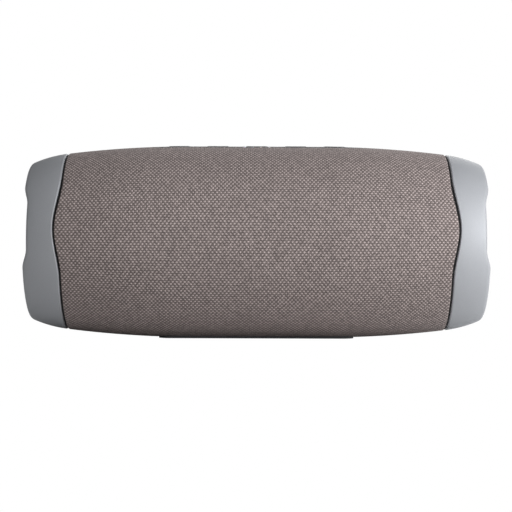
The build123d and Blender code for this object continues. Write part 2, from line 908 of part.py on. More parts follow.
with BuildPart() as button_board:
    with BuildSketch(top_view.offset(bay_floor)):
        RectangleRounded(
            button_bay[0] - 2 * button_board_clearance,
            button_bay[1] - 2 * button_board_clearance,
            button_board_corner,
        )
    extrude(amount=button_board_thickness)
save(button_board, "button_board")

with BuildPart() as button_switches:
    with BuildSketch(top_view.offset(board_top)):
        with Locations(*button_points):
            RectangleRounded(switch_side, switch_side, switch_corner)
    extrude(amount=switch_height)
    with BuildSketch(top_view.offset(board_top + switch_height)):
        with Locations(*button_points):
            Circle(plunger_radius)
    extrude(amount=plunger_height)
save(button_switches, "button_switches")

# Foot: a rubber pad glued to the grille through a window in the fabric
with BuildPart() as foot_pad:
    extrude(foot_window(), amount=-axis_stand)
    revolve(barrel_face(seam_x, grille_inset - glue_line), axis=spine, mode=Mode.SUBTRACT)
    with BuildSketch(Plane.XY.offset(axis_stand - body_radius + grille_inset)):
        with GridLocations(*foot_peg_pitch, 2, 2):
            Circle(foot_peg_radius)
    extrude(amount=foot_peg_length)
save(foot_pad, "foot_pad")

# Port bay: a tub let into the back, with a hinged cover over its sockets
hinge_height = port_height - port_bay[1] / 2 + cover_clearance + hinge_radius
hinge_y = sqrt((body_radius - hinge_radius - hinge_running_gap) ** 2 - hinge_height**2)
hinge_line = Plane(
    (0, hinge_y, axis_stand + hinge_height), x_dir=(0, 1, 0), z_dir=(1, 0, 0)
)
port_top = port_height + port_bay[1] / 2
usb_z = port_height
socket_board_top = usb_z - usb_shell[2] / 2
aux_z = socket_board_top + aux_body[2] / 2
socket_mouth_y = port_floor_y - socket_setback

with BuildPart() as port_panel:
    extrude(port_window(port_bezel), amount=-cut_reach)
    with BuildSketch(side_view):
        Rectangle(2 * cut_reach, 2 * cut_reach)
    extrude(amount=-(port_floor_y - port_floor_thickness), mode=Mode.SUBTRACT)
    revolve(barrel_face(seam_x, 0), axis=spine, mode=Mode.INTERSECT)
    with BuildSketch(side_view.offset(-port_floor_y)):
        with Locations((0, port_height)):
            RectangleRounded(*port_bay, port_bay_corner)
        with Locations((0, port_height - port_bay[1] / 4)):
            Rectangle(port_bay[0], port_bay[1] / 2)
    extrude(amount=-cut_reach, mode=Mode.SUBTRACT)
    with BuildSketch(side_view.offset(-(hinge_y - nail_notch_depth))):
        with Locations((0, port_top + nail_notch_radius - nail_notch_depth)):
            Circle(nail_notch_radius)
    extrude(amount=-cut_reach, mode=Mode.SUBTRACT)
    with BuildSketch(hinge_line):
        Circle(hinge_radius + cover_clearance)
    extrude(amount=port_bay[0] / 2, both=True, mode=Mode.SUBTRACT)
    with BuildSketch(hinge_line):
        Circle(hinge_pin_radius + hinge_running_gap)
    extrude(amount=port_bay[0] / 2 + hinge_pin_hold, both=True, mode=Mode.SUBTRACT)
    with BuildSketch(side_view):
        with Locations((usb_x, usb_z)):
            RectangleRounded(
                usb_shell[0] + 2 * socket_clearance,
                usb_shell[2] + 2 * socket_clearance,
                usb_corner + socket_clearance,
            )
        with Locations((aux_x, aux_z)):
            Circle(aux_nose_radius + socket_clearance)
    extrude(amount=-port_floor_y, mode=Mode.SUBTRACT)
save(port_panel, "port_panel")

with BuildPart() as port_cover:
    extrude(port_window(-cover_clearance), amount=-cut_reach)
    revolve(
        barrel_face(seam_x, 0, cover_thickness), axis=spine, mode=Mode.INTERSECT
    )
    with BuildSketch(side_view):
        with Locations((0, hinge_height - cut_reach / 2)):
            Rectangle(cut_reach, cut_reach)
    extrude(amount=-cut_reach, mode=Mode.SUBTRACT)
    with BuildSketch(hinge_line):
        Circle(hinge_radius)
    extrude(amount=port_bay[0] / 2 - cover_clearance, both=True)
    with BuildSketch(hinge_line):
        Circle(hinge_pin_radius + hinge_running_gap)
    extrude(amount=port_bay[0] / 2, both=True, mode=Mode.SUBTRACT)
save(port_cover, "port_cover")

with BuildPart() as port_cover_pin:
    with BuildSketch(hinge_line):
        Circle(hinge_pin_radius)
    extrude(amount=port_bay[0] / 2 + hinge_pin_hold - hinge_running_gap, both=True)
save(port_cover_pin, "port_cover_pin")

# Main board, with its sockets and the parts that stand on it
board_underside = board_size[2] - socket_board_top
board_back_y = min(
    port_floor_y - port_floor_thickness,
    sqrt(enclosure_bore**2 - board_underside**2),
) - board_clearance
board_front_y = board_back_y - board_size[1]

with BuildPart() as main_board:
    with BuildSketch(top_view.offset(-board_underside)):
        with Locations((0, board_front_y + board_size[1] / 2)):
            RectangleRounded(board_size[0], board_size[1], board_corner)
    extrude(amount=board_size[2])
save(main_board, "main_board")

with BuildPart() as usb_socket:
    with BuildSketch(side_view.offset(-socket_mouth_y)):
        with Locations((usb_x, usb_z)):
            RectangleRounded(usb_shell[0], usb_shell[2], usb_corner)
    extrude(amount=usb_shell[1])
    with BuildSketch(side_view.offset(-socket_mouth_y)):
        with Locations((usb_x, usb_z)):
            RectangleRounded(
                usb_shell[0] - 2 * usb_wall, usb_shell[2] - 2 * usb_wall, usb_corner - usb_wall
            )
    extrude(amount=usb_shell[1] - usb_back_wall, mode=Mode.SUBTRACT)
    with BuildSketch(side_view.offset(-(socket_mouth_y - usb_tongue_setback))):
        with Locations((usb_x, usb_z)):
            Rectangle(*usb_tongue)
    extrude(amount=usb_shell[1] - usb_back_wall)
save(usb_socket, "usb_socket")

with BuildPart() as aux_socket:
    aux_face_y = port_floor_y - port_floor_thickness - socket_clearance
    with BuildSketch(side_view.offset(-aux_face_y)):
        with Locations((aux_x, aux_z)):
            RectangleRounded(aux_body[0], aux_body[2], aux_corner)
    extrude(amount=aux_body[1])
    with BuildSketch(side_view.offset(-socket_mouth_y)):
        with Locations((aux_x, aux_z)):
            Circle(aux_nose_radius)
    extrude(amount=socket_mouth_y - aux_face_y)
    with BuildSketch(side_view.offset(-socket_mouth_y)):
        with Locations((aux_x, aux_z)):
            Circle(aux_bore_radius)
    extrude(amount=aux_bore_depth, mode=Mode.SUBTRACT)
save(aux_socket, "aux_socket")

with BuildPart() as radio_shield:
    with BuildSketch(top_view.offset(socket_board_top)):
        with Locations((-board_size[0] / 4, board_front_y + board_size[1] / 3)):
            RectangleRounded(shield_size[0], shield_size[1], shield_corner)
    extrude(amount=shield_size[2])
    fillet(radio_shield.edges().group_by(Axis.Z)[-1], shield_edge)
save(radio_shield, "radio_shield")

with BuildPart() as amplifier_chips:
    with BuildSketch(top_view.offset(socket_board_top)):
        with Locations((board_size[0] / 8, board_front_y + board_size[1] / 4)):
            with GridLocations(2 * chip_size[0], 0, 2, 1):
                Rectangle(chip_size[0], chip_size[1])
    extrude(amount=chip_size[2])
save(amplifier_chips, "amplifier_chips")

with BuildPart() as board_capacitors:
    with BuildSketch(top_view.offset(socket_board_top)):
        with Locations((3 * board_size[0] / 8, board_front_y + board_size[1] / 2)):
            with GridLocations(0, 3 * capacitor_radius, 1, 2):
                Circle(capacitor_radius)
    extrude(amount=capacitor_height)
save(board_capacitors, "board_capacitors")

# Battery: two cells side by side in a cradle on the enclosure's floor
cell_end_x = cell_length / 2
cell_spacing = 2 * cell_radius + cell_gap
cell_height = -sqrt((enclosure_bore - cell_radius - cell_floor) ** 2 - (cell_spacing / 2) ** 2)
for cell_name, cell_side in (("front", -1), ("rear", 1)):
    with BuildPart() as cell:
        with BuildSketch(Plane.YZ.offset(-cell_end_x)):
            with Locations((cell_side * cell_spacing / 2, axis_stand + cell_height)):
                Circle(cell_radius)
        extrude(amount=cell_length)
        fillet(cell.edges().filter_by(GeomType.CIRCLE), cell_edge)
    save(cell, f"battery_cell_{cell_name}")

cradle_half = cell_end_x + cell_clearance + cradle_end_wall
cradle_width = cell_spacing + 2 * (cell_radius + cradle_wall)
cradle_top = cell_height + cradle_grip
with BuildPart() as battery_cradle:
    with BuildSketch(top_view.offset(-enclosure_radius)):
        Rectangle(2 * cradle_half, cradle_width)
    extrude(amount=cradle_top + enclosure_radius)
    revolve(
        ring_face(0, enclosure_bore - cradle_clearance, -cradle_half, cradle_half),
        axis=spine,
        mode=Mode.INTERSECT,
    )
    with BuildSketch(Plane.YZ.offset(-cell_end_x - cell_clearance)):
        with Locations((0, axis_stand + cell_height)):
            with GridLocations(cell_spacing, 0, 2, 1):
                Circle(cell_radius + cell_clearance)
    extrude(amount=cell_length + 2 * cell_clearance, mode=Mode.SUBTRACT)
save(battery_cradle, "battery_cradle")

# Leads inside the enclosure: battery to board, board to each driver, board to buttons
board_solder_z = axis_stand + socket_board_top
crossing_z = board_solder_z + lead_rise
battery_lead_x = cradle_half + lead_inset + 3 * lead_radius
battery_lead_y = cell_spacing / 2
battery_lead_z = axis_stand + cell_height - cell_radius / 2
battery_lead_path = [
    (cradle_half, battery_lead_y, battery_lead_z),
    (battery_lead_x, battery_lead_y, battery_lead_z),
    (battery_lead_x, battery_lead_y + lead_step, crossing_z),
    (board_size[0] / 2 - lead_inset, battery_lead_y + lead_step, crossing_z),
    (board_size[0] / 2 - lead_inset, battery_lead_y + lead_step, board_solder_z),
]
driver_edge_x = driver_spacing / 2 - basket_foot_radius - lead_radius / 2
driver_edge_y = -driver_seat_y + front_plate_depth + front_plate_thickness / 2
driver_lead_x = board_size[0] / 3
driver_lead_path = [
    (driver_lead_x, board_front_y + lead_step, board_solder_z),
    (driver_lead_x, board_front_y + lead_step, crossing_z),
    (driver_lead_x, driver_edge_y, crossing_z - lead_radius),
    (driver_edge_x, driver_edge_y, axis_stand),
]
button_lead_x = -button_bay[0] / 5
button_solder_y = board_back_y - board_size[1] / 2 + lead_rise
button_lead_path = [
    (button_lead_x, button_solder_y, board_solder_z),
    (button_lead_x, button_solder_y, board_solder_z + button_lead_height[0]),
    (button_lead_x, button_lead_y, board_solder_z + button_lead_height[1]),
    (button_lead_x, button_lead_y, axis_stand + bay_floor - button_bay_wall),
]


def lead(path, bend):
    # A round lead along straight runs joined by arcs.
    with BuildPart() as cable:
        with BuildLine() as route:
            FilletPolyline(*path, radius=bend)
        with BuildSketch(Plane(path[0], z_dir=Vector(*path[1]) - Vector(*path[0]))):
            Circle(lead_radius)
        sweep(path=route.line)
    return cable.part


with BuildPart() as internal_leads:
    add(lead(battery_lead_path, battery_lead_bend))
    driver_lead = lead(driver_lead_path, lead_bend)
    add(driver_lead)
    mirror(driver_lead, about=Plane.YZ)
    add(lead(button_lead_path, button_lead_bend))
save(internal_leads, "internal_leads")
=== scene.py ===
import json
from math import acos, asin, atan2, cos, hypot, pi, radians, sin, sqrt, tan

import bmesh
import bpy
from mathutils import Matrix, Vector
from mathutils.geometry import delaunay_2d_cdt


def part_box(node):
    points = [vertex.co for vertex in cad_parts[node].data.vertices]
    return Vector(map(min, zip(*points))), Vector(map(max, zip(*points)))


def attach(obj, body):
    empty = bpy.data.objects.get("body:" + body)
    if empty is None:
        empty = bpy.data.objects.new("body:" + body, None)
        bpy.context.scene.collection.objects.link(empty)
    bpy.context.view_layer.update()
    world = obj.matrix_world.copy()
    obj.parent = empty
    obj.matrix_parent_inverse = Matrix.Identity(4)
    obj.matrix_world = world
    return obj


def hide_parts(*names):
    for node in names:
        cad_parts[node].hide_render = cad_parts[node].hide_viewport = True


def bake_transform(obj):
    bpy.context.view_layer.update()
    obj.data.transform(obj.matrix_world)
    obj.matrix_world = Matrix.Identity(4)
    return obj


# Portable bluetooth speaker: a barrel in woven cloth between two satin silver end rings.
# The frame gives every place; the sizes below are in millimetres and are turned to metres
# by mm. +X is the right end, -Y the front, +Z up.

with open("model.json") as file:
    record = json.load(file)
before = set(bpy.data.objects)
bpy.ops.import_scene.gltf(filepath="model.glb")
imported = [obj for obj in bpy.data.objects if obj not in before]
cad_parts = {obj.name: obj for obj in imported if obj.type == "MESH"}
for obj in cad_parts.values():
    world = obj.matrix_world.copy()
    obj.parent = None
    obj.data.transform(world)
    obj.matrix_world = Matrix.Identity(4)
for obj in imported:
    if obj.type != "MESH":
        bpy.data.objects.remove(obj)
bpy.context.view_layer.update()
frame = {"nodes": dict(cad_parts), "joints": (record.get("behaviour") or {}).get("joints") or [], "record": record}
mm = 0.001

# sizes shared by several pieces

axisZ = (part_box("radiator_plate_right")[0].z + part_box("radiator_plate_right")[1].z) / 2
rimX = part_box("end_ring_right")[1].x
bodyRadius = -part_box("fabric_sleeve")[0].y

barrel = {
    "straightHalf": 31.6 * mm,  # half of the stretch that is a plain cylinder
    "curveRadius": 488 * mm,  # the long curve from there to the rings
}
ring = {
    "width": 17.8 * mm,
    "curveRadius": 60 * mm,
    "skin": 2.2 * mm,
    "rimDepth": 4.4 * mm,
    "rimCorner": 2.8 * mm,
    "lipRadius": 32.0 * mm,
    "lipWall": 1.6 * mm,
    "seamBevel": 0.68 * mm,
    "lipLength": 9.85 * mm,
    "rimRun": 3.4 * mm,  # the last of the outside is left to the rounded rim
    "bendDepth": 3 * mm,  # the bend of seam and rim fades out over this depth at the lip
    "waistHeight": 6.6 * mm,  # height above the axis where the ring is pinched
    "rimDip": 2.0 * mm,
    "rimDipFlat": 20.6 * mm,
    "rimDipRamp": 9.0 * mm,
    "seamWave": 3.0 * mm,
    "seamWaveHalf": 24.0 * mm,
    "gap": 0.9 * mm,
    "turns": 288,
}
seamX = rimX - ring["width"]


def skinRadius(x):
    # outside of the cloth at a distance x from the barrel's middle
    run = max(abs(x) - barrel["straightHalf"], 0)
    return bodyRadius - barrel["curveRadius"] + sqrt(barrel["curveRadius"] ** 2 - run**2)


def ringRadius(x):
    # outside of the end ring, which leaves the cloth's line without a break
    slope = (seamX - barrel["straightHalf"]) / barrel["curveRadius"]
    centreX = seamX - ring["curveRadius"] * slope
    centreR = skinRadius(seamX) - ring["curveRadius"] * sqrt(1 - slope**2)
    return centreR + sqrt(ring["curveRadius"] ** 2 - (x - centreX) ** 2)


def smooth(t):
    t = min(max(t, 0), 1)
    return t * t * (3 - 2 * t)


def seamWave(height):
    # how far the seam swells towards the end, at a height above the barrel's axis
    return ring["seamWave"] * smooth(1 - abs(height - ring["waistHeight"]) / ring["seamWaveHalf"])


def rimDip(height):
    past = abs(height - ring["waistHeight"]) - ring["rimDipFlat"] / 2
    return ring["rimDip"] * smooth(1 - past / ring["rimDipRamp"])


# meshes


def makePiece(name, points, faces, body, material, replaces=(), sharp=35, join=True):
    # a mesh piece that rides on a body and stands for the CAD nodes it replaces
    mesh = bpy.data.meshes.new(name)
    mesh.from_pydata([tuple(p) for p in points], [], faces)
    piece = bpy.data.objects.new(name, mesh)
    bpy.context.scene.collection.objects.link(piece)
    tidyMesh(mesh, join, sharp)
    mesh.materials.append(material)
    if body:
        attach(piece, body)
    if replaces:
        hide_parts(*replaces)
    return piece


def tidyMesh(mesh, join, sharp):
    work = bmesh.new()
    work.from_mesh(mesh)
    if join:
        bmesh.ops.remove_doubles(work, verts=work.verts, dist=1e-6)
        bmesh.ops.dissolve_degenerate(work, edges=work.edges, dist=1e-7)
    bmesh.ops.recalc_face_normals(work, faces=work.faces)
    work.to_mesh(mesh)
    work.free()
    mesh.shade_smooth()
    mesh.set_sharp_from_angle(angle=radians(sharp))


def roundCorners(points, steps=5, closed=True):
    # points are (a, b, radius): each corner becomes an arc of that radius
    made = []
    for index, (a, b, radius) in enumerate(points):
        corner = Vector((a, b))
        if radius <= 0 or (not closed and index in (0, len(points) - 1)):
            made.append((a, b))
            continue
        back = (Vector(points[index - 1][:2]) - corner).normalized()
        ahead = (Vector(points[(index + 1) % len(points)][:2]) - corner).normalized()
        half = back.angle(ahead) / 2
        centre = corner + (back + ahead).normalized() * radius / sin(half)
        first = corner + back * radius / tan(half) - centre
        last = corner + ahead * radius / tan(half) - centre
        turn = atan2(first.x * last.y - first.y * last.x, first.dot(last))
        for step in range(steps + 1):
            angle = turn * step / steps
            made.append(
                (
                    centre.x + first.x * cos(angle) - first.y * sin(angle),
                    centre.y + first.x * sin(angle) + first.y * cos(angle),
                )
            )
    return made


def turnedPoint(x, radius, angle):
    # round the barrel's axis: angle 0 is the front, a quarter turn is the top
    return (x, -radius * cos(angle), axisZ + radius * sin(angle))


def turned(profile, turns, place=turnedPoint, closed=True):
    # points and faces of a section turned round the axis; place may bend it as it goes
    points = []
    for turn in range(turns):
        angle = 2 * pi * turn / turns
        points += [place(x, radius, angle) for x, radius in profile]
    count = len(profile)
    faces = []
    for turn in range(turns):
        here, there = turn * count, (turn + 1) % turns * count
        for index in range(count if closed else count - 1):
            other = (index + 1) % count
            faces.append((here + index, there + index, there + other, here + other))
    return points, faces


def mirrorX(points, side):
    return [(side * x, y, z) for x, y, z in points]


def rectDepth(u, v, size, corner, grow=0.0):
    # distance outside a rounded rectangle, negative inside it
    a = abs(u) - size[0] / 2 + corner
    b = abs(v) - size[1] / 2 + corner
    return hypot(max(a, 0), max(b, 0)) + min(max(a, b), 0) - corner - grow


def rectLoop(size, corner, grow=0.0, centre=(0, 0), step=1.5 * mm):
    # outline of a rounded rectangle, grown by grow, with points about a step apart
    halfU, halfV, radius = size[0] / 2 + grow, size[1] / 2 + grow, corner + grow
    radius = max(radius, 1e-5)
    made = []
    corners = ((1, 1, 0), (-1, 1, 1), (-1, -1, 2), (1, -1, 3))
    for signU, signV, quarter in corners:
        middle = (signU * (halfU - radius), signV * (halfV - radius))
        arcSteps = max(6, round(radius * pi / 2 / step))
        for index in range(arcSteps + 1):
            angle = (quarter + index / arcSteps) * pi / 2
            made.append((middle[0] + radius * cos(angle), middle[1] + radius * sin(angle)))
        nextU, nextV, _ = corners[(quarter + 1) % 4]
        last, goal = made[-1], (
            nextU * (halfU - radius) + radius * cos((quarter + 1) * pi / 2),
            nextV * (halfV - radius) + radius * sin((quarter + 1) * pi / 2),
        )
        gap = hypot(goal[0] - last[0], goal[1] - last[1])
        for index in range(1, max(1, round(gap / step))):
            share = index / max(1, round(gap / step))
            made.append(
                (last[0] + (goal[0] - last[0]) * share, last[1] + (goal[1] - last[1]) * share)
            )
    cleaned = []
    for point in made:
        if not cleaned or hypot(point[0] - cleaned[-1][0], point[1] - cleaned[-1][1]) > 1e-7:
            cleaned.append(point)
    return [(u + centre[0], v + centre[1]) for u, v in cleaned]


def circleLoop(radius, centre=(0, 0), steps=40):
    return [
        (centre[0] + radius * cos(2 * pi * k / steps), centre[1] + radius * sin(2 * pi * k / steps))
        for k in range(steps)
    ]


def flatSheet(loops, lines, spacing, span, depth):
    # triangles between closed loops and open lines, on an even grid where depth is positive
    points, edges = [], []
    for loop in loops:
        first = len(points)
        points += loop
        edges += [(first + k, first + (k + 1) % len(loop)) for k in range(len(loop))]
    for line in lines:
        first = len(points)
        points += line
        edges += [(first + k, first + k + 1) for k in range(len(line) - 1)]
    (lowU, lowV), (highU, highV) = span
    columns = max(1, round((highU - lowU) / spacing))
    rows = max(1, round((highV - lowV) / spacing))
    for row in range(rows + 1):
        for column in range(columns + 1):
            u = lowU + (highU - lowU) * column / columns
            v = lowV + (highV - lowV) * row / rows
            if depth(u, v) > 0.55 * spacing:
                points.append((u, v))
    found = delaunay_2d_cdt([Vector(p) for p in points], edges, [], 0, 1e-8)
    vertices = [(p.x, p.y) for p in found[0]]
    faces = []
    for face in found[2]:
        u = sum(vertices[k][0] for k in face) / len(face)
        v = sum(vertices[k][1] for k in face) / len(face)
        if depth(u, v) > 0:
            faces.append(tuple(face))
    return vertices, faces


def roundDrop(depth, radius):
    # how far a rounded edge falls below the surface at a depth in from the edge
    inside = min(max(depth, 0), radius)
    return radius - sqrt(max(radius**2 - (radius - inside) ** 2, 0))


def edgeSteps(radius, count=4):
    # distances in from an edge at which its rounding gets a row of points
    return [radius * (1 - cos(pi / 2 * k / count)) for k in range(count + 1)]


def thickSheet(vertices, faces, outer, inner):
    # a closed skin: outer and inner give the place of each flat point, walls close the rims
    points = [outer(u, v) for u, v in vertices] + [inner(u, v) for u, v in vertices]
    count = len(vertices)
    made = list(faces) + [tuple(k + count for k in reversed(face)) for face in faces]
    uses = {}
    for face in faces:
        for a, b in zip(face, face[1:] + face[:1]):
            uses[(a, b)] = True
    for a, b in uses:
        if (b, a) not in uses:
            made.append((b, a, a + count, b + count))
    return points, made


# materials


def linear(hexValue):
    # an sRGB hex value as the linear colour that shaders take
    channels = [int(hexValue[k : k + 2], 16) / 255 for k in (1, 3, 5)]
    return [c / 12.92 if c <= 0.04045 else ((c + 0.055) / 1.055) ** 2.4 for c in channels] + [1]


def addNode(tree, kind, settings=None, links=None):
    # one node with its settings and the sockets that feed it
    node = tree.nodes.new("ShaderNode" + kind)
    for name, value in (settings or {}).items():
        if isinstance(name, str) and hasattr(node, name):
            setattr(node, name, value)
        else:
            node.inputs[name].default_value = value
    for name, source in (links or {}).items():
        tree.links.new(source, node.inputs[name])
    return node


def newMaterial(name):
    material = bpy.data.materials.new(name)
    material.use_nodes = True
    tree = material.node_tree
    tree.nodes.clear()
    addNode(tree, "OutputMaterial")
    return material, tree


def finishMaterial(tree, shader):
    tree.links.new(shader.outputs[0], tree.nodes["Material Output"].inputs["Surface"])


def rampColours(node, *stops):
    # sets a colour ramp's stops, given as place and hex colour
    elements = node.color_ramp.elements
    while len(elements) < len(stops):
        elements.new(0.5)
    for element, (place, hexValue) in zip(elements, stops):
        element.position = place
        element.color = linear(hexValue)


clothLook = {
    "lightThread": "#A09490",
    "darkThread": "#69605C",
    # hollow: colour of the gaps between rows, partly the dark grille behind the cloth and partly painted shade
    "hollow": "#383232",
    "pitchAlong": 0.925 * mm,
    "pitchRound": 1.2 * mm,
    "relief": 0.16 * mm,
    "roughness": 0.86,
    "sheen": 0.12,
}


def wovenPolyester():
    # Melange polyester speaker cloth, plain woven: light threads float over dark ones, so the
    # eye sees a fine chequer of pale dots, each a little different, with a dry matt sheen.
    look = clothLook
    material, tree = newMaterial("wovenPolyester")
    place = addNode(tree, "TexCoord")
    parts = addNode(tree, "SeparateXYZ", links={0: place.outputs["Object"]})
    height = addNode(tree, "Math", {"operation": "SUBTRACT", 1: axisZ}, {0: parts.outputs["Z"]})
    angle = addNode(tree, "Math", {"operation": "ARCTAN2"},
                    {0: height.outputs[0], 1: parts.outputs["Y"]})
    wander = addNode(tree, "TexNoise", {"Scale": 90.0, "Detail": 2.0},
                     {"Vector": place.outputs["Object"]})
    drift = addNode(tree, "Math", {"operation": "MULTIPLY_ADD", 1: 0.8, 2: -0.4},
                    {0: wander.outputs[0]})
    along = addNode(tree, "Math", {"operation": "MULTIPLY_ADD", 1: pi / look["pitchAlong"]},
                    {0: parts.outputs["X"], 2: drift.outputs[0]})
    rounds = round(2 * pi * bodyRadius / look["pitchRound"] / 2) * 2
    around = addNode(tree, "Math", {"operation": "MULTIPLY_ADD", 1: rounds / 2},
                     {0: angle.outputs[0], 2: drift.outputs[0]})
    waveA = addNode(tree, "Math", {"operation": "COSINE"}, {0: along.outputs[0]})
    waveB = addNode(tree, "Math", {"operation": "COSINE"}, {0: around.outputs[0]})
    chequer = addNode(tree, "Math", {"operation": "MULTIPLY"},
                      {0: waveA.outputs[0], 1: waveB.outputs[0]})
    size = addNode(tree, "Math", {"operation": "ABSOLUTE"}, {0: chequer.outputs[0]})
    bead = addNode(tree, "Math", {"operation": "POWER", 1: 0.6}, {0: size.outputs[0]})
    upper = addNode(tree, "MapRange", {"From Min": -0.15, "From Max": 0.35,
                                       "To Min": 0.55, "To Max": 1.0},
                    {"Value": chequer.outputs[0]})
    relief = addNode(tree, "Math", {"operation": "MULTIPLY"},
                     {0: bead.outputs[0], 1: upper.outputs[0]})

    # single threads differ a little in colour, and the yarn has fine fibres along it
    cells = addNode(tree, "CombineXYZ", links={0: along.outputs[0], 1: around.outputs[0]})
    perThread = addNode(tree, "VectorMath", {"operation": "MULTIPLY", 1: (1 / pi, 1 / pi, 1)},
                        {0: cells.outputs[0]})
    rounded = addNode(tree, "VectorMath", {"operation": "FLOOR"}, {0: perThread.outputs[0]})
    threadShade = addNode(tree, "TexWhiteNoise", {"noise_dimensions": "2D"},
                          {"Vector": rounded.outputs[0]})
    fibre = addNode(tree, "TexNoise", {"Scale": 2600.0, "Detail": 3.0, "Roughness": 0.7},
                    {"Vector": place.outputs["Object"]})
    mottle = addNode(tree, "TexNoise", {"Scale": 35.0, "Detail": 3.0},
                     {"Vector": place.outputs["Object"]})
    lightShare = addNode(tree, "MapRange", {"From Min": -0.25, "From Max": 0.55},
                         {"Value": chequer.outputs[0]})
    threads = addNode(tree, "Mix", {"data_type": "RGBA", 6: linear(look["darkThread"]),
                                    7: linear(look["lightThread"])},
                      {0: lightShare.outputs[0]})
    # painted shade: the gaps between rows darken towards the hollow colour, partly the dark grille seen through
    # the cloth and partly painted shade in the gaps
    rowWave = addNode(tree, "Math", {"operation": "ABSOLUTE"}, {0: waveB.outputs[0]})
    gapShadeShare = addNode(tree, "MapRange", {"From Min": 0.05, "From Max": 0.60, "To Min": 0.85,
                                             "To Max": 0.0}, {"Value": rowWave.outputs[0]})
    threadsWithGapShade = addNode(tree, "Mix", {"data_type": "RGBA", 7: linear(look["hollow"])},
                   {0: gapShadeShare.outputs[0], 6: threads.outputs[2]})
    shadeOne = addNode(tree, "MapRange", {"To Min": 0.80, "To Max": 1.20},
                       {"Value": threadShade.outputs["Value"]})
    shadeTwo = addNode(tree, "MapRange", {"To Min": 0.82, "To Max": 1.18},
                       {"Value": fibre.outputs[0]})
    shadeThree = addNode(tree, "MapRange", {"To Min": 0.93, "To Max": 1.07},
                         {"Value": mottle.outputs[0]})
    shade = addNode(tree, "Math", {"operation": "MULTIPLY"},
                    {0: shadeOne.outputs[0], 1: shadeTwo.outputs[0]})
    shadeAll = addNode(tree, "Math", {"operation": "MULTIPLY"},
                       {0: shade.outputs[0], 1: shadeThree.outputs[0]})
    colour = addNode(tree, "VectorMath", {"operation": "SCALE"},
                     {0: threadsWithGapShade.outputs[2], "Scale": shadeAll.outputs[0]})
    fuzz = addNode(tree, "Math", {"operation": "MULTIPLY_ADD", 1: 0.18},
                   {0: fibre.outputs[0], 2: relief.outputs[0]})
    bump = addNode(tree, "Bump", {"Strength": 0.7, "Distance": look["relief"]},
                   {"Height": fuzz.outputs[0]})
    shader = addNode(tree, "BsdfPrincipled", {"Roughness": look["roughness"], "IOR": 1.45,
                                              "Specular IOR Level": 0.25,
                                              "Sheen Weight": look["sheen"],
                                              "Sheen Roughness": 0.4,
                                              "Sheen Tint": linear("#D8CFCB")},
                     {"Base Color": colour.outputs[0], "Normal": bump.outputs[0]})
    finishMaterial(tree, shader)
    return material


def mouldedPlastic(name, colour, edgeHighlight, roughness, grain, relief, metallic=0.0, coat=0.0):
    # A moulded plastic: one colour with faint flow variation, a fine spark-eroded grain from
    # the tool, and a painted highlight that lightens its sharp outer edges.
    material, tree = newMaterial(name)
    place = addNode(tree, "TexCoord")
    flow = addNode(tree, "TexNoise", {"Scale": 28.0, "Detail": 4.0, "Roughness": 0.6},
                   {"Vector": place.outputs["Object"]})
    speck = addNode(tree, "TexNoise", {"Scale": 1 / grain, "Detail": 2.0},
                    {"Vector": place.outputs["Object"]})
    # painted highlight: sharp outer edges are lightened towards the second colour
    edge = addNode(tree, "NewGeometry")
    highlightShare = addNode(tree, "MapRange", {"From Min": 0.52, "From Max": 0.62, "To Max": 0.5},
                        {"Value": edge.outputs["Pointiness"]})
    base = addNode(tree, "Mix", {"data_type": "RGBA", 6: linear(colour), 7: linear(edgeHighlight)},
                   {0: highlightShare.outputs[0]})
    shadeOne = addNode(tree, "MapRange", {"To Min": 0.94, "To Max": 1.06},
                       {"Value": flow.outputs[0]})
    shadeTwo = addNode(tree, "MapRange", {"From Min": 0.3, "From Max": 0.7, "To Min": 0.95,
                                          "To Max": 1.05}, {"Value": speck.outputs[0]})
    shade = addNode(tree, "Math", {"operation": "MULTIPLY"},
                    {0: shadeOne.outputs[0], 1: shadeTwo.outputs[0]})
    tinted = addNode(tree, "VectorMath", {"operation": "SCALE"},
                     {0: base.outputs[2], "Scale": shade.outputs[0]})
    gloss = addNode(tree, "MapRange", {"To Min": roughness * 0.88, "To Max": roughness * 1.12},
                    {"Value": flow.outputs[0]})
    bump = addNode(tree, "Bump", {"Strength": 0.5, "Distance": relief},
                   {"Height": speck.outputs[0]})
    shader = addNode(tree, "BsdfPrincipled", {"Metallic": metallic, "IOR": 1.5,
                                              "Coat Weight": coat, "Coat Roughness": 0.3},
                     {"Base Color": tinted.outputs[0], "Roughness": gloss.outputs[0],
                      "Normal": bump.outputs[0]})
    finishMaterial(tree, shader)
    return material


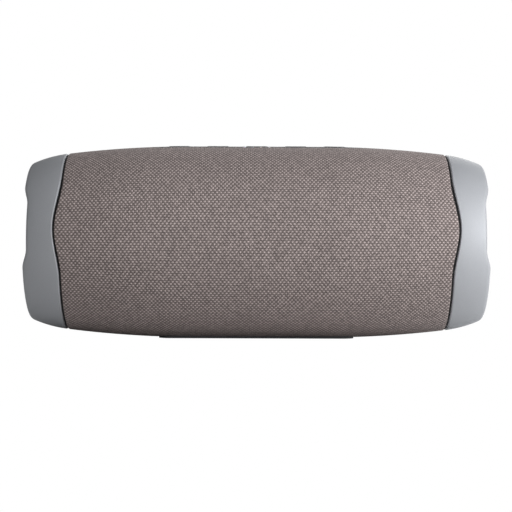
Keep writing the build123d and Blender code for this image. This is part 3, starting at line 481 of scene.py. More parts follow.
def turnedMetal(name, colour, roughness, grooves, relief=0.02 * mm):
    # Metal turned or spun on a lathe: fine rings round its axis catch the light as a fan.
    # The rings are drawn coarser than the real 0.05 mm so that they can show.
    material, tree = newMaterial(name)
    place = addNode(tree, "TexCoord")
    parts = addNode(tree, "SeparateXYZ", links={0: place.outputs["Object"]})
    height = addNode(tree, "Math", {"operation": "SUBTRACT", 1: axisZ}, {0: parts.outputs["Z"]})
    flat = addNode(tree, "CombineXYZ", links={0: parts.outputs["Y"], 1: height.outputs[0]})
    radius = addNode(tree, "VectorMath", {"operation": "LENGTH"}, {0: flat.outputs[0]})
    line = addNode(tree, "CombineXYZ", links={0: radius.outputs["Value"]})
    ringNoise = addNode(tree, "TexNoise", {"Scale": 1 / grooves, "Detail": 3.0,
                                           "Roughness": 0.8}, {"Vector": line.outputs[0]})
    cloud = addNode(tree, "TexNoise", {"Scale": 120.0, "Detail": 3.0},
                    {"Vector": place.outputs["Object"]})
    shade = addNode(tree, "MapRange", {"From Min": 0.3, "From Max": 0.7, "To Min": 0.88,
                                       "To Max": 1.1}, {"Value": ringNoise.outputs[0]})
    base = addNode(tree, "RGB")
    base.outputs[0].default_value = linear(colour)
    tinted = addNode(tree, "VectorMath", {"operation": "SCALE"},
                     {0: base.outputs[0], "Scale": shade.outputs[0]})
    gloss = addNode(tree, "MapRange", {"To Min": roughness * 0.8, "To Max": roughness * 1.2},
                    {"Value": cloud.outputs[0]})
    bump = addNode(tree, "Bump", {"Strength": 0.6, "Distance": relief},
                   {"Height": ringNoise.outputs[0]})
    shader = addNode(tree, "BsdfPrincipled", {"Metallic": 1.0},
                     {"Base Color": tinted.outputs[0], "Roughness": gloss.outputs[0],
                      "Normal": bump.outputs[0]})
    finishMaterial(tree, shader)
    return material


def speckled(name, colour, other, roughness, grain, relief, metallic=0.0, sheen=0.0):
    # A cast, pressed or wrapped stuff whose colour runs between two shades from spot to spot.
    material, tree = newMaterial(name)
    place = addNode(tree, "TexCoord")
    spots = addNode(tree, "TexNoise", {"Scale": 1 / grain, "Detail": 5.0, "Roughness": 0.65},
                    {"Vector": place.outputs["Object"]})
    ramp = addNode(tree, "ValToRGB", links={0: spots.outputs[0]})
    rampColours(ramp, (0.35, colour), (0.68, other))
    gloss = addNode(tree, "MapRange", {"To Min": roughness * 0.85, "To Max": roughness * 1.15},
                    {"Value": spots.outputs[0]})
    bump = addNode(tree, "Bump", {"Strength": 0.5, "Distance": relief},
                   {"Height": spots.outputs[0]})
    shader = addNode(tree, "BsdfPrincipled", {"Metallic": metallic, "Sheen Weight": sheen},
                     {"Base Color": ramp.outputs[0], "Roughness": gloss.outputs[0],
                      "Normal": bump.outputs[0]})
    finishMaterial(tree, shader)
    return material


def circuitLaminate():
    # Glass-epoxy board under green solder mask: copper tracks show through as paler lines.
    material, tree = newMaterial("circuitLaminate")
    place = addNode(tree, "TexCoord")
    tracks = addNode(tree, "TexBrick", {"Color1": linear("#0F3A26"), "Color2": linear("#174B31"),
                                        "Mortar": linear("#3C7A50"), "Scale": 160.0,
                                        "Mortar Size": 0.03},
                     {"Vector": place.outputs["Object"]})
    glass = addNode(tree, "TexNoise", {"Scale": 1500.0}, {"Vector": place.outputs["Object"]})
    bump = addNode(tree, "Bump", {"Strength": 0.3, "Distance": 0.03 * mm},
                   {"Height": glass.outputs[0]})
    shader = addNode(tree, "BsdfPrincipled", {"Roughness": 0.35, "IOR": 1.55},
                     {"Base Color": tracks.outputs[0], "Normal": bump.outputs[0]})
    finishMaterial(tree, shader)
    return material


def frostedPolycarbonate():
    # Light pipe of frosted polycarbonate: milky, with a soft inner glow at its ends.
    material, tree = newMaterial("frostedPolycarbonate")
    place = addNode(tree, "TexCoord")
    haze = addNode(tree, "TexNoise", {"Scale": 3000.0}, {"Vector": place.outputs["Object"]})
    ramp = addNode(tree, "ValToRGB", links={0: haze.outputs[0]})
    rampColours(ramp, (0.3, "#D9DCDD"), (0.7, "#F2F4F4"))
    shader = addNode(tree, "BsdfPrincipled", {"Roughness": 0.45, "IOR": 1.58,
                                              "Subsurface Weight": 0.3,
                                              "Subsurface Scale": 0.001},
                     {"Base Color": ramp.outputs[0]})
    finishMaterial(tree, shader)
    return material


# the second colour of each moulded plastic is its painted edge highlight
satinAbs = mouldedPlastic("satinAbs", "#8F9193", "#B4B6B9", 0.52, 0.25 * mm, 0.012 * mm,
                          metallic=0.12)
blackAbs = mouldedPlastic("blackAbs", "#1B1C1E", "#3A3B3D", 0.52, 0.30 * mm, 0.02 * mm)
darkAbs = mouldedPlastic("darkAbs", "#232427", "#4A4B4E", 0.45, 0.28 * mm, 0.015 * mm)
keyRubber = mouldedPlastic("keyRubber", "#2A2B2D", "#4C4D50", 0.62, 0.35 * mm, 0.02 * mm)
glyphInk = mouldedPlastic("glyphInk", "#C9CBCD", "#E2E3E4", 0.50, 0.30 * mm, 0.01 * mm)
footRubber = mouldedPlastic("footRubber", "#1D1D1E", "#333334", 0.75, 0.40 * mm, 0.03 * mm)
butylRubber = mouldedPlastic("butylRubber", "#141415", "#2C2C2D", 0.58, 0.45 * mm, 0.02 * mm)
sealFoam = speckled("sealFoam", "#0D0D0E", "#1B1B1C", 0.90, 0.5 * mm, 0.05 * mm)
spunAluminium = turnedMetal("spunAluminium", "#B9BBBF", 0.30, 0.35 * mm)
zincSteel = speckled("zincSteel", "#A2A6AA", "#C0C3C6", 0.34, 0.8 * mm, 0.01 * mm, metallic=1.0)
ferrite = speckled("ferrite", "#2C2D2F", "#3D3E40", 0.70, 0.4 * mm, 0.04 * mm)
copperWinding = speckled("copperWinding", "#A5522A", "#C7713F", 0.32, 0.2 * mm, 0.05 * mm,
                         metallic=1.0)
treatedCloth = speckled("treatedCloth", "#8A6A34", "#B08E50", 0.85, 0.4 * mm, 0.06 * mm,
                        sheen=0.2)
paperPulp = speckled("paperPulp", "#1F1F20", "#34332F", 0.88, 0.5 * mm, 0.06 * mm)
chipResin = speckled("chipResin", "#161718", "#242526", 0.60, 0.15 * mm, 0.01 * mm)
cellWrap = speckled("cellWrap", "#2B6AA0", "#3A7BB2", 0.42, 12 * mm, 0.01 * mm)
leadVinyl = speckled("leadVinyl", "#8E1F1C", "#A62A26", 0.50, 2 * mm, 0.01 * mm)
circuitBoard = circuitLaminate()
lightPipe = frostedPolycarbonate()
clothMaterial = wovenPolyester()
print("materials made")

# fabric sleeve: one tube of cloth, open over the buttons, the foot and the port bay

sleeve = {
    "thickness": 1.0 * mm,
    "edgeRound": 0.38 * mm,  # the cloth turns in over the grille's edge
    "spacing": 2.0 * mm,
    "joinAngle": radians(-135),  # where the tube's own edges meet, behind and below
}
buttonWindow = {"size": (104 * mm, 17 * mm), "corner": 8 * mm, "grow": 0.15 * mm}
footWindow = {"size": (95 * mm, 18 * mm), "corner": 6 * mm, "grow": 0.2 * mm}
portWindow = {"size": (48 * mm, 16 * mm), "corner": 2.5 * mm, "grow": 1.75 * mm,
              "height": -6 * mm}


def sleeveEdge(height):
    return seamX + seamWave(height) - ring["gap"]


def windowDepths(x, angle):
    # distances from the three windows, each seen square on from its own side
    y, height = -bodyRadius * cos(angle), bodyRadius * sin(angle)
    found = []
    if height > 0:
        found.append(rectDepth(x, y, buttonWindow["size"], buttonWindow["corner"],
                               buttonWindow["grow"]))
    else:
        found.append(rectDepth(x, y, footWindow["size"], footWindow["corner"],
                               footWindow["grow"]))
    if y > 0:
        found.append(rectDepth(x, height - portWindow["height"], portWindow["size"],
                               portWindow["corner"], portWindow["grow"]))
    return found


def sleeveDepth(x, arc):
    angle = arc / bodyRadius
    height = bodyRadius * sin(angle)
    return min([sleeveEdge(height) - abs(x)] + windowDepths(x, angle))


def makeSleeve():
    start = sleeve["joinAngle"] * bodyRadius
    length = 2 * pi * bodyRadius
    arcSteps = round(length / sleeve["spacing"])
    rows = edgeSteps(sleeve["edgeRound"])
    loops, lines = [], []
    for inset in rows:
        top = rectLoop(buttonWindow["size"], buttonWindow["corner"], buttonWindow["grow"] + inset)
        loops.append([(x, acos(-y / bodyRadius) * bodyRadius) for x, y in top])
        low = rectLoop(footWindow["size"], footWindow["corner"], footWindow["grow"] + inset)
        loops.append([(x, -acos(-y / bodyRadius) * bodyRadius) for x, y in low])
        back = rectLoop(portWindow["size"], portWindow["corner"], portWindow["grow"] + inset,
                        (0, portWindow["height"]))
        loops.append([(x, (pi - asin(h / bodyRadius)) * bodyRadius) for x, h in back])
        for side in (-1, 1):
            line = []
            for step in range(arcSteps + 1):
                arc = start + length * step / arcSteps
                edge = sleeveEdge(bodyRadius * sin(arc / bodyRadius)) - inset
                line.append((side * edge, arc))
            lines.append(line)
    joinEdge = sleeveEdge(bodyRadius * sin(sleeve["joinAngle"]))
    columns = round(2 * joinEdge / sleeve["spacing"])
    across = [-joinEdge + inset for inset in rows]
    across += [joinEdge * (2 * k / columns - 1) for k in range(1, columns)]
    across += [joinEdge - inset for inset in reversed(rows)]
    lines += [[(x, start) for x in across], [(x, start + length) for x in across]]

    def depth(x, arc):
        nearJoin = min(arc - start, start + length - arc)
        return min(sleeveDepth(x, arc), nearJoin) if nearJoin < sleeve["spacing"] else (
            sleeveDepth(x, arc))

    span = ((-seamX - ring["seamWave"], start), (seamX + ring["seamWave"], start + length))
    vertices, faces = flatSheet(loops, lines, sleeve["spacing"], span, depth)

    def outer(x, arc):
        drop = roundDrop(sleeveDepth(x, arc), sleeve["edgeRound"])
        return turnedPoint(x, skinRadius(x) - drop, arc / bodyRadius)

    def inner(x, arc):
        return turnedPoint(x, skinRadius(x) - sleeve["thickness"], arc / bodyRadius)

    points, made = thickSheet(vertices, faces, outer, inner)
    return makePiece("fabricSleeve", points, made, "housing", clothMaterial,
                     ("fabric_sleeve",))


def closeJoin(piece):
    # the wall faces along the join lie on each other once its edges meet, so they go
    work = bmesh.new()
    work.from_mesh(piece.data)
    seen, extra = {}, []
    for face in work.faces:
        key = tuple(sorted(v.index for v in face.verts))
        if key in seen:
            extra += [face, seen[key]]
        seen[key] = face
    bmesh.ops.delete(work, geom=list(set(extra)), context="FACES_ONLY")
    bmesh.ops.recalc_face_normals(work, faces=work.faces)
    work.to_mesh(piece.data)
    work.free()


fabricSleeve = makeSleeve()
closeJoin(fabricSleeve)
fabricSleeve.data.set_sharp_from_angle(angle=radians(60))
print("fabric sleeve made", len(fabricSleeve.data.polygons))

# end rings


def ringPoint(x, radius, angle):
    # a point of the plain ring's section, moved with the wavy seam and the dip in the rim
    height = radius * sin(angle)
    lipBack = rimX - ring["lipLength"]
    channelX = rimX - ring["rimDepth"]
    if radius > ring["lipRadius"] + ring["lipWall"] + 0.1 * mm:
        share = (x - seamX) / ring["width"]
        movedX = (seamX + seamWave(height)) * (1 - share) + (rimX - rimDip(height)) * share
        movedR = radius + ringRadius(movedX) - ringRadius(x)
        grip = (radius - ring["lipRadius"] - ring["lipWall"]) / ring["bendDepth"]
        grip = min(1, max(0, grip))
        movedR = radius + (movedR - radius) * grip
        if x < channelX:
            return turnedPoint(movedX, movedR, angle)
        lipX = x - rimDip(height)
        return turnedPoint(lipX + (movedX - lipX) * grip, movedR, angle)
    share = (x - lipBack) / (rimX - lipBack)
    return turnedPoint(x - rimDip(height) * max(share, 0), radius, angle)


def ringSection():
    outerX = [seamX + (ring["width"] - ring["rimRun"]) * k / 16 for k in range(17)]
    innerX = [seamX + (ring["width"] - ring["rimDepth"]) * k / 8 for k in range(9)]
    lipOuter = ring["lipRadius"] + ring["lipWall"]
    lipBack = rimX - ring["lipLength"]
    channelX = rimX - ring["rimDepth"]
    corners = [(x, ringRadius(x), ring["seamBevel"] if x == seamX else 0) for x in outerX]
    corners += [
        (rimX, ringRadius(rimX), ring["rimCorner"]),
        (rimX, ring["lipRadius"], ring["lipWall"] / 2),
        (lipBack, ring["lipRadius"], 0.2 * mm),
        (lipBack, lipOuter, 0.2 * mm),
        (channelX, lipOuter, 0.3 * mm),
    ]
    corners += [(x, ringRadius(x) - ring["skin"], 0) for x in reversed(innerX)]
    return roundCorners(corners, steps=7)


for sideName, side in (("left", -1), ("right", 1)):
    points, faces = turned(ringSection(), ring["turns"], ringPoint)
    makePiece("endRing" + sideName.capitalize(), mirrorX(points, side), faces, "housing", satinAbs,
              ("end_ring_" + sideName,), sharp=50)
print("end rings made")

# seam seals: a soft dark strip at the bottom of each groove

seal = {"recess": 0.8 * mm, "depth": 2.0 * mm, "clear": 0.05 * mm, "round": 0.25 * mm}


def sealPoint(x, radius, angle):
    # x runs from 0 at the cloth to 1 at the ring, radius is the depth below the skin
    height = bodyRadius * sin(angle)
    low = sleeveEdge(height) + seal["clear"]
    high = seamX + seamWave(height) - seal["clear"]
    placeX = low + (high - low) * x
    return turnedPoint(placeX, skinRadius(placeX) - radius, angle)


sealSection = [
    (0, seal["recess"] + seal["round"]), (0.2, seal["recess"] + seal["round"] * 0.3),
    (0.5, seal["recess"]), (0.8, seal["recess"] + seal["round"] * 0.3),
    (1, seal["recess"] + seal["round"]), (1, seal["recess"] + seal["depth"]),
    (0, seal["recess"] + seal["depth"]),
]
for sideName, side in (("left", -1), ("right", 1)):
    points, faces = turned(sealSection, ring["turns"], sealPoint)
    makePiece("seamSeal" + sideName.capitalize(), mirrorX(points, side), faces, "housing", sealFoam,
              ("seam_seal_" + sideName,))

# passive radiators: frame, rubber half roll and spun cap at each end

radiator = {
    "turns": 192,
    "frameOpening": 30.6 * mm,
    "seatWidth": 1.3 * mm,
    "rubber": 0.8 * mm,
    "roll": 3.0 * mm,
    "plateRadius": 24.2 * mm,
    "land": 1.3 * mm,
    "capEdge": 0.35 * mm,
    "capCrown": 0.8 * mm,  # rise of the cap's middle over its edge
    "stampDepth": 0.22 * mm,
    "stampBand": (0.80, 0.86),  # shares of the cap's radius
    "hubDepth": 0.25 * mm,
    "hubBand": (0.26, 0.31),
    "bandSlope": 0.03,
}


def halfRoll(inner, outer, back, front, roll, steps=16):
    # front and back of a rubber half roll: one arc out over the top, one arc back under it
    middle, half = (inner + outer) / 2, (outer - inner) / 2
    above, below = [], []
    for step in range(steps + 1):
        angle = pi * step / steps
        above.append((front + roll * sin(angle), middle - half * cos(angle)))
        below.append((back + roll * sin(angle), middle + half * cos(angle)))
    return above, below


def flexWeights(piece, outer, inner, radiusOf):
    # weights along the radius from the roll's outer edge to its inner edge; they are worked out but not stored on
    # the piece
    weights = [smooth((outer - radiusOf(vertex.co)) / (outer - inner))
               for vertex in piece.data.vertices]


def surroundSection(seatX):
    inner, outer = radiator["plateRadius"], radiator["frameOpening"]
    rubber, land = radiator["rubber"], radiator["land"]
    above, below = halfRoll(inner, outer, seatX, seatX + rubber, radiator["roll"])
    return (
        [(seatX, inner - land), (seatX + rubber * 0.6, inner - land),
         (seatX + rubber, inner - land + rubber * 0.4)]
        + above
        + [(seatX + rubber, outer + land - rubber * 0.4), (seatX + rubber * 0.6, outer + land),
           (seatX, outer + land)]
        + below
    )


def pressed(share, band):
    # 1 inside a band of the cap's radius and 0 outside it, with a soft slope at either side
    slope = radiator["bandSlope"]
    return smooth((share - band[0]) / slope) - smooth((share - band[1]) / slope)


def capSection(cap, seatX):
    # spun dish: a rolled outer edge, a shallow cone and a raised centre
    edge, crown = cap[1].z - axisZ, cap[1].x - seatX
    thick = crown - radiator["capCrown"]
    lip = radiator["capEdge"]
    rise = [(seatX, 0), (seatX, edge), (seatX + thick - lip, edge),
            (seatX + thick - lip * 0.3, edge - lip * 0.3), (seatX + thick, edge - lip)]
    steps = 40
    for step in range(1, steps + 1):
        radius = (edge - lip) * (1 - step / steps)
        share = radius / edge
        domed = radiator["capCrown"] * (1 - share**2)
        ringed = -radiator["stampDepth"] * pressed(share, radiator["stampBand"])
        hub = -radiator["hubDepth"] * pressed(share, radiator["hubBand"])
        rise.append((seatX + thick + domed + ringed + hub, max(radius, 0)))
    return rise


for sideName, side in (("left", -1), ("right", 1)):
    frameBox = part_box("radiator_frame_right")
    faceX = frameBox[1].x
    seatX = faceX - radiator["rubber"]
    body = "radiator_" + sideName
    points, faces = turned(surroundSection(seatX), radiator["turns"])
    surround = makePiece("radiatorSurround" + sideName.capitalize(), mirrorX(points, side), faces,
                         None, butylRubber, ("radiator_surround_" + sideName,))
    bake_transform(surround)
    flexWeights(surround, radiator["frameOpening"], radiator["plateRadius"],
                lambda place: hypot(place.y, place.z - axisZ))
    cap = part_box("radiator_cap_right")
    points, faces = turned(capSection(cap, seatX), radiator["turns"], closed=False)
    makePiece("radiatorCap" + sideName.capitalize(), mirrorX(points, side), faces, body,
              spunAluminium, ("radiator_cap_" + sideName,))
    frameOuter = frameBox[1].z - axisZ
    opening, seatR = radiator["frameOpening"], radiator["frameOpening"] + radiator["seatWidth"]
    backX = frameBox[0].x
    section = roundCorners(
        [(backX, opening, 0.2 * mm), (seatX, opening, 0.1 * mm), (seatX, seatR, 0.05 * mm),
         (faceX, seatR, 0.25 * mm), (faceX, frameOuter, 0.3 * mm), (backX, frameOuter, 0.3 * mm)],
        steps=3)
    points, faces = turned(section, radiator["turns"])
    makePiece("radiatorFrame" + sideName.capitalize(), mirrorX(points, side), faces, "housing",
              darkAbs, ("radiator_frame_" + sideName,))
print("radiators made")

# driver surrounds: rubber half rolls between each basket and its cone

driverRubber = {
    "turns": 128,
    "coneRadius": 18.4 * mm,
    "coneLap": 0.4 * mm,  # glued on the cone's mouth
    "rollOuter": 22.45 * mm,
    "land": 1.6 * mm,  # glued on the basket
    "roll": 1.9 * mm,
    "rubber": 0.5 * mm,
    "baseDepth": 1.6 * mm,  # from the driver's seat forward to the basket's face
    "coneDepth": 0.22 * mm,  # from the seat forward to the glued face
}


def driverSection():
    # points are (distance forward of the seat, radius), from the cone round to the basket
    look = driverRubber
    inner, outer = look["coneRadius"], look["rollOuter"]
    base, front = look["baseDepth"], look["baseDepth"] + look["rubber"]
    above, below = halfRoll(inner, outer, base, front, look["roll"])
    return (
        [(look["coneDepth"], inner), (look["coneDepth"], inner - look["coneLap"]),
         (front, inner - look["coneLap"])]
        + above
        + [(front, outer + look["land"]), (base, outer + look["land"])]
        + below
    )


for sideName in ("left", "right"):
    low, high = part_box("driver_surround_" + sideName)
    centreX, reachR = (low.x + high.x) / 2, (high.x - low.x) / 2
    seatY = low.y + driverRubber["baseDepth"] + driverRubber["roll"] + driverRubber["rubber"]

    def driverPoint(forward, radius, angle):
        return (centreX + radius * cos(angle), seatY - forward, axisZ + radius * sin(angle))

    points, faces = turned(driverSection(), driverRubber["turns"], driverPoint)
    rubberRing = makePiece("driverSurround" + sideName.capitalize(), points, faces, None,
                           butylRubber, ("driver_surround_" + sideName,))
    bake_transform(rubberRing)
    flexWeights(rubberRing, driverRubber["rollOuter"], driverRubber["coneRadius"],
                lambda place: hypot(place.x - centreX, place.z - axisZ))
print("driver surrounds made")

# button panel: a soft frame flush with the cloth, five keys with raised signs

buttons = {
    "names": ("power", "pairing", "volume_down", "volume_up", "play"),
    "radius": 5.4 * mm,
    "clear": 0.25 * mm,
    "proud": 0.2 * mm,
    "dish": 0.18 * mm,  # hollow for the fingertip
    "edgeRound": 0.45 * mm,
    "flange": 0.7 * mm,
    "flangeThickness": 0.8 * mm,
    "flangeGap": 0.08 * mm,  # below the frame
    "stemRadius": 1.6 * mm,
    "turns": 56,
    "signLine": 0.55 * mm,
    "signRise": 0.14 * mm,
    "signSink": 0.2 * mm,
}
panel = {
    "size": (104 * mm, 17 * mm),
    "corner": 8 * mm,
    "thickness": 4.2 * mm,
    "edgeRound": 0.35 * mm,
    "spacing": 1.6 * mm,
    "lights": 4,
    "lightWidth": 2 * mm,
    "lightRadius": 0.68 * mm,
}


def topSurface(x, y, proud=0.0):
    return axisZ + sqrt((skinRadius(x) + proud) ** 2 - y**2)


def buttonMiddle(name):
    low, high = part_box(name + "_button")
    return (low.x + high.x) / 2


def lightMiddles():
    low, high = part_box("light_guide")
    gaps = panel["lights"] - 1
    pitch = (high.x - low.x - panel["lightWidth"]) / gaps
    return [((k - gaps / 2) * pitch, (low.y + high.y) / 2) for k in range(panel["lights"])]


def makePanel():
    holes = [(buttonMiddle(n), 0, buttons["radius"] + buttons["clear"], 48)
             for n in buttons["names"]]
    holes += [(x, y, panel["lightRadius"], 16) for x, y in lightMiddles()]
    loops = []
    for inset in edgeSteps(panel["edgeRound"], 3):
        loops.append(rectLoop(panel["size"], panel["corner"], -inset, step=1.2 * mm))
        for x, y, radius, steps in holes:
            if radius > 1 * mm or inset == 0:
                loops.append(circleLoop(radius + inset, (x, y), steps))

    def depth(x, y):
        found = [-rectDepth(x, y, panel["size"], panel["corner"])]
        found += [hypot(x - a, y - b) - radius for a, b, radius, _ in holes]
        return min(found)

    half = (panel["size"][0] / 2, panel["size"][1] / 2)
    vertices, faces = flatSheet(loops, [], panel["spacing"], ((-half[0], -half[1]), half), depth)

    def outer(x, y):
        return (x, y, topSurface(x, y) - roundDrop(depth(x, y), panel["edgeRound"]))

    def inner(x, y):
        return (x, y, topSurface(x, y, -panel["thickness"]))

    points, made = thickSheet(vertices, faces, outer, inner)
    makePiece("buttonFrame", points, made, "housing", keyRubber, ("button_frame",),
              sharp=60)


def buttonPlace(x, y, middleX):
    # top of a key: the barrel's own curve, hollowed a little and rounded off at the edge
    radius = hypot(x - middleX, y)
    flat = buttons["radius"] - buttons["edgeRound"]
    hollow = buttons["dish"] * (1 - smooth(radius / flat))
    drop = roundDrop(buttons["radius"] - radius, buttons["edgeRound"])
    return topSurface(x, y, buttons["proud"]) - hollow - drop


def makeButton(name):
    middleX = buttonMiddle(name)
    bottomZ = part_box(name + "_button")[0].z
    flangeR = buttons["radius"] + buttons["flange"]
    flangeTop = axisZ + sqrt((bodyRadius - panel["thickness"]) ** 2 - flangeR**2)
    flangeTop -= buttons["flangeGap"]
    flangeLow = flangeTop - buttons["flangeThickness"]
    flat = buttons["radius"] - buttons["edgeRound"]
    rows = [(flat * k / 10, None) for k in range(11)]
    rows += [(buttons["radius"] - inset, None)
             for inset in reversed(edgeSteps(buttons["edgeRound"], 4)[:-1])]
    rows += [(buttons["radius"], flangeTop), (flangeR, flangeTop), (flangeR, flangeLow),
             (buttons["stemRadius"], flangeLow), (buttons["stemRadius"], bottomZ), (0, bottomZ)]
    points = []
    for radius, height in rows:
        for turn in range(buttons["turns"]):
            angle = 2 * pi * turn / buttons["turns"]
            x, y = middleX + radius * cos(angle), radius * sin(angle)
            points.append((x, y, buttonPlace(x, y, middleX) if height is None else height))
    count = buttons["turns"]
    faces = []
    for row in range(len(rows) - 1):
        for turn in range(count):
            after = (turn + 1) % count
            faces.append((row * count + turn, (row + 1) * count + turn,
                          (row + 1) * count + after, row * count + after))
    body = name + "_button"
    makePiece(name.replace("_", "") + "Key", points, faces, body, keyRubber, (body,),
              sharp=50)


def strip(path, width, closed=False):
    # left and right edges of a flat line of one width along a path
    edges = []
    last = len(path) - 1
    for index, (x, y) in enumerate(path):
        before = path[index - 1] if index or closed else path[0]
        after = path[(index + 1) % len(path)] if index < last or closed else path[last]
        along = Vector((after[0] - before[0], after[1] - before[1])).normalized()
        side = Vector((-along.y, along.x)) * width / 2
        edges.append(((x + side.x, y + side.y), (x - side.x, y - side.y)))
    return edges


def arcPath(radius, start, end, steps=20, centre=(0, 0)):
    return [(centre[0] + radius * cos(radians(start + (end - start) * k / steps)),
             centre[1] + radius * sin(radians(start + (end - start) * k / steps)))
            for k in range(steps + 1)]


def barPath(start, end, steps=6):
    return [(start[0] + (end[0] - start[0]) * k / steps, start[1] + (end[1] - start[1]) * k / steps)
            for k in range(steps + 1)]


signs = {
    "power": [arcPath(1.75 * mm, 125, 415), barPath((0, 0.7 * mm), (0, 2.2 * mm))],
    "pairing": [arcPath(side * 1.0 * mm, -38, 38, 8) for side in (-1, 1)]
    + [arcPath(side * 2.0 * mm, -38, 38, 12) for side in (-1, 1)]
    + [barPath((-0.28 * mm, 0), (0.28 * mm, 0))],
    "volume_down": [barPath((-1.8 * mm, 0), (1.8 * mm, 0), 10)],
    "volume_up": [barPath((-1.8 * mm, 0), (1.8 * mm, 0), 10),
                  barPath((0, 0.275 * mm), (0, 1.8 * mm)),
                  barPath((0, -0.275 * mm), (0, -1.8 * mm))],
    "play": [barPath((-1.1 * mm, -1.6 * mm), (-1.1 * mm, 1.6 * mm), 8),
             barPath((-1.1 * mm, 1.6 * mm), (1.7 * mm, 0), 8),
             barPath((1.7 * mm, 0), (-1.1 * mm, -1.6 * mm), 8)],
}


def makeSign(name):
    middleX = buttonMiddle(name)
    points, faces = [], []
    for path in signs[name]:
        first = len(points)
        wide = strip(path, buttons["signLine"])
        slim = strip(path, buttons["signLine"] * 0.7)
        for (left, right), (slimLeft, slimRight) in zip(wide, slim):
            for (x, y), rise in ((left, -buttons["signSink"]), (slimLeft, buttons["signRise"]),
                                 (slimRight, buttons["signRise"]), (right, -buttons["signSink"])):
                points.append((middleX + x, y, buttonPlace(middleX + x, y, middleX) + rise))
        steps = len(path)
        for step in range(steps - 1):
            here = first + 4 * step
            for k in range(4):
                other = (k + 1) % 4
                faces.append((here + k, here + 4 + k, here + 4 + other, here + other))
        end = first + 4 * (steps - 1)
        faces += [(first, first + 1, first + 2, first + 3), (end + 3, end + 2, end + 1, end)]
    makePiece(name.replace("_", "") + "Sign", points, faces, name + "_button", glyphInk,
              sharp=30, join=False)


makePanel()
for buttonName in buttons["names"]:
    makeButton(buttonName)
    makeSign(buttonName)
print("buttons made")

# port cover at the back: a hinged flap that follows the barrel, with a rolled hinge

cover = {
    "size": (48 * mm, 16 * mm),
    "corner": 2.5 * mm,
    "clear": 0.35 * mm,
    "thickness": 2.0 * mm,
    "edgeRound": 0.4 * mm,
    "hingeRadius": 1.5 * mm,
    "pinRadius": 0.65 * mm,
    "spacing": 1.5 * mm,
    "hingeRound": 0.25 * mm,
    "boreRound": 0.05 * mm,
}


def makeCover():
    hinge = next(j for j in frame["joints"] if j["name"] == "port_cover_hinge")
    hingeY, hingeZ = hinge["pos_m"][1], hinge["pos_m"][2]
    hingeHeight = hingeZ - axisZ
    middleH = portWindow["height"]
    top = middleH + cover["size"][1] / 2 - cover["clear"]
    halfX = cover["size"][0] / 2 - cover["clear"]
    size = (2 * halfX, 2 * (top - middleH))
    corner = cover["corner"] - cover["clear"]

    def depth(x, h):
        return min(-rectDepth(x, h - middleH, size, corner), h - hingeHeight)

    loops = []
    for inset in edgeSteps(cover["edgeRound"], 3):
        outline = rectLoop(size, corner, -inset, (0, middleH), 1.2 * mm)
        above = [(x, max(h, hingeHeight)) for x, h in outline]
        kept = []
        for point in above:
            if not kept or hypot(point[0] - kept[-1][0], point[1] - kept[-1][1]) > 1e-6:
                kept.append(point)
        loops.append(kept)

    span = ((-halfX, hingeHeight), (halfX, top))
    vertices, faces = flatSheet(loops, [], cover["spacing"], span, depth)

    def edgeDepth(x, h):
        return -rectDepth(x, h - middleH, size, corner)

    def outer(x, h):
        drop = roundDrop(edgeDepth(x, h), cover["edgeRound"])
        return (x, sqrt(skinRadius(x) ** 2 - h**2) - drop, axisZ + h)

    def inner(x, h):
        return (x, sqrt((skinRadius(x) - cover["thickness"]) ** 2 - h**2), axisZ + h)

    points, made = thickSheet(vertices, faces, outer, inner)
    section = roundCorners(
        [(-halfX, cover["pinRadius"], cover["boreRound"]),
         (halfX, cover["pinRadius"], cover["boreRound"]),
         (halfX, cover["hingeRadius"], cover["hingeRound"]),
         (-halfX, cover["hingeRadius"], cover["hingeRound"])],
        steps=3)

    def hingePlace(x, radius, angle):
        return (x, hingeY + radius * cos(angle), hingeZ + radius * sin(angle))

    tube, tubeFaces = turned(section, 40, hingePlace)
    first = len(points)
    points += tube
    made += [tuple(k + first for k in face) for face in tubeFaces]
    makePiece("portCover", points, made, "port_cover", keyRubber, ("port_cover",),
              sharp=50)


makeCover()
print("port cover made")

# CAD nodes that keep their shape and take a finish

finishes = {
    "black_plastic": blackAbs, "silver_plastic": satinAbs, "black_rubber": footRubber,
    "grey_rubber": keyRubber, "zinc_steel": zincSteel, "spun_aluminium": spunAluminium,
    "ferrite": ferrite, "copper_wire": copperWinding, "treated_cloth": treatedCloth,
    "paper_cone": paperPulp, "frosted_plastic": lightPipe, "circuit_board": circuitBoard,
    "chip_resin": chipResin, "battery_wrap": cellWrap, "lead_insulation": leadVinyl,
    "woven_fabric": clothMaterial,
}
softEdges = {  # moulded corners are never quite sharp
    "port_panel": 0.25 * mm,
    "foot_pad": 0.35 * mm,
    "usb_socket": 0.08 * mm,
    "aux_socket": 0.12 * mm,
}
slotOf = {row["node"]: row["material_slot"] for row in frame["record"]["subparts"]}
for nodeName, node in frame["nodes"].items():
    node.data.materials.clear()
    node.data.materials.append(finishes[slotOf[nodeName]])
for nodeName, width in softEdges.items():
    node = frame["nodes"][nodeName]
    weld = node.modifiers.new("weld", "WELD")
    weld.merge_threshold = 1e-6
    bevel = node.modifiers.new("bevel", "BEVEL")
    bevel.width = width
    bevel.segments = 3
    bevel.limit_method = "ANGLE"
    bevel.angle_limit = radians(40)
    bevel.harden_normals = True
print("finishes given", len(frame["nodes"]))

# camera, floor and light

studio = {
    "distance": 0.80,
    "lens": 114.6,
    "shiftX": -0.001,
    "shiftY": -0.0275,
    "roll": radians(0.2),
    "ambient": 0.27,
    "sensor": 36,
    "floorReach": 3.0,
}


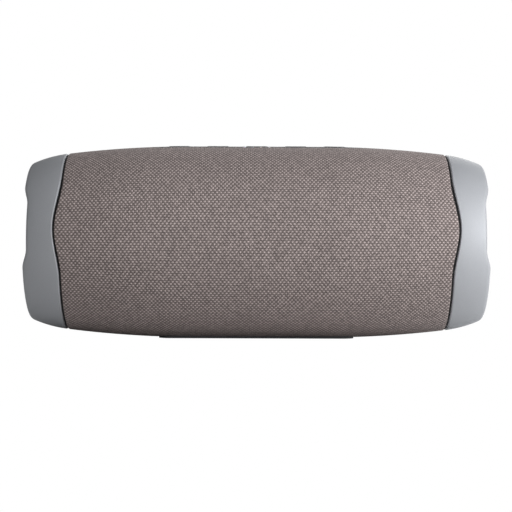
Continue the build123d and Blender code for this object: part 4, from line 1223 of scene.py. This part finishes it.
def addArea(name, place, target, size, power, colour):
    light = bpy.data.lights.new(name, "AREA")
    light.shape = "RECTANGLE"
    light.size, light.size_y = size
    light.energy = power
    light.color = linear(colour)[:3]
    lamp = bpy.data.objects.new(name, light)
    lamp.location = place
    lamp.rotation_mode = "QUATERNION"
    lamp.rotation_quaternion = (Vector(target) - Vector(place)).to_track_quat("-Z", "Y")
    bpy.context.scene.collection.objects.link(lamp)
    return lamp


camera = bpy.data.objects.new("camera", bpy.data.cameras.new("camera"))
camera.data.lens = studio["lens"]
camera.data.sensor_width = studio["sensor"]
camera.data.shift_x, camera.data.shift_y = studio["shiftX"], studio["shiftY"]
camera.location = (0, -studio["distance"], axisZ)
camera.rotation_euler = (pi / 2, -studio["roll"], 0)
bpy.context.scene.collection.objects.link(camera)
bpy.context.scene.camera = camera

world = bpy.data.worlds.new("studio")
world.use_nodes = True
bpy.context.scene.world = world
world.node_tree.nodes.clear()
worldOut = addNode(world.node_tree, "OutputWorld")
seen = addNode(world.node_tree, "LightPath")
soft = addNode(world.node_tree, "Background", {"Color": linear("#F4F4F6"),
                                                "Strength": studio["ambient"]})
paper = addNode(world.node_tree, "Background", {"Color": (1, 1, 1, 1), "Strength": 1.0})
either = addNode(world.node_tree, "MixShader", links={0: seen.outputs["Is Camera Ray"],
                                                      1: soft.outputs[0], 2: paper.outputs[0]})
world.node_tree.links.new(either.outputs[0], worldOut.inputs["Surface"])

floorMaterial, floorTree = newMaterial("paperSweep")
floorSeen = addNode(floorTree, "LightPath")
floorMatt = addNode(floorTree, "BsdfDiffuse", {"Color": linear("#F2F2F2")})
floorWhite = addNode(floorTree, "Emission", {"Color": (1, 1, 1, 1), "Strength": 1.0})
floorMix = addNode(floorTree, "MixShader", links={0: floorSeen.outputs["Is Camera Ray"],
                                                  1: floorMatt.outputs[0],
                                                  2: floorWhite.outputs[0]})
finishMaterial(floorTree, floorMix)
floorMesh = bpy.data.meshes.new("floor")
reach = studio["floorReach"]
floorMesh.from_pydata([(-reach, -reach, 0), (reach, -reach, 0), (reach, reach, 0),
                       (-reach, reach, 0)], [], [(0, 1, 2, 3)])
floorMesh.materials.append(floorMaterial)
floor = bpy.data.objects.new("floor", floorMesh)
bpy.context.scene.collection.objects.link(floor)

middle = (0, 0, axisZ)
lights = {  # place, target, size, power, colour
    "keyRight": ((0.62, -0.31, 0.15), (0.05, 0, axisZ), (0.60, 0.60), 8.5, "#FAFBFF"),
    "fillTop": ((0.10, -0.40, 0.60), middle, (0.7, 0.4), 1.7, "#FAFAFF"),
    "fillLow": ((0.35, -0.7, 0.05), middle, (0.4, 0.1), 0.6, "#FBF8F6"),
    "rear": ((0.1, 0.8, 0.45), middle, (0.6, 0.4), 2.0, "#FFFFFF"),
}
for lightName, light in lights.items():
    addArea(lightName, *light)

bpy.context.scene.view_settings.view_transform = "Standard"
print("studio made")
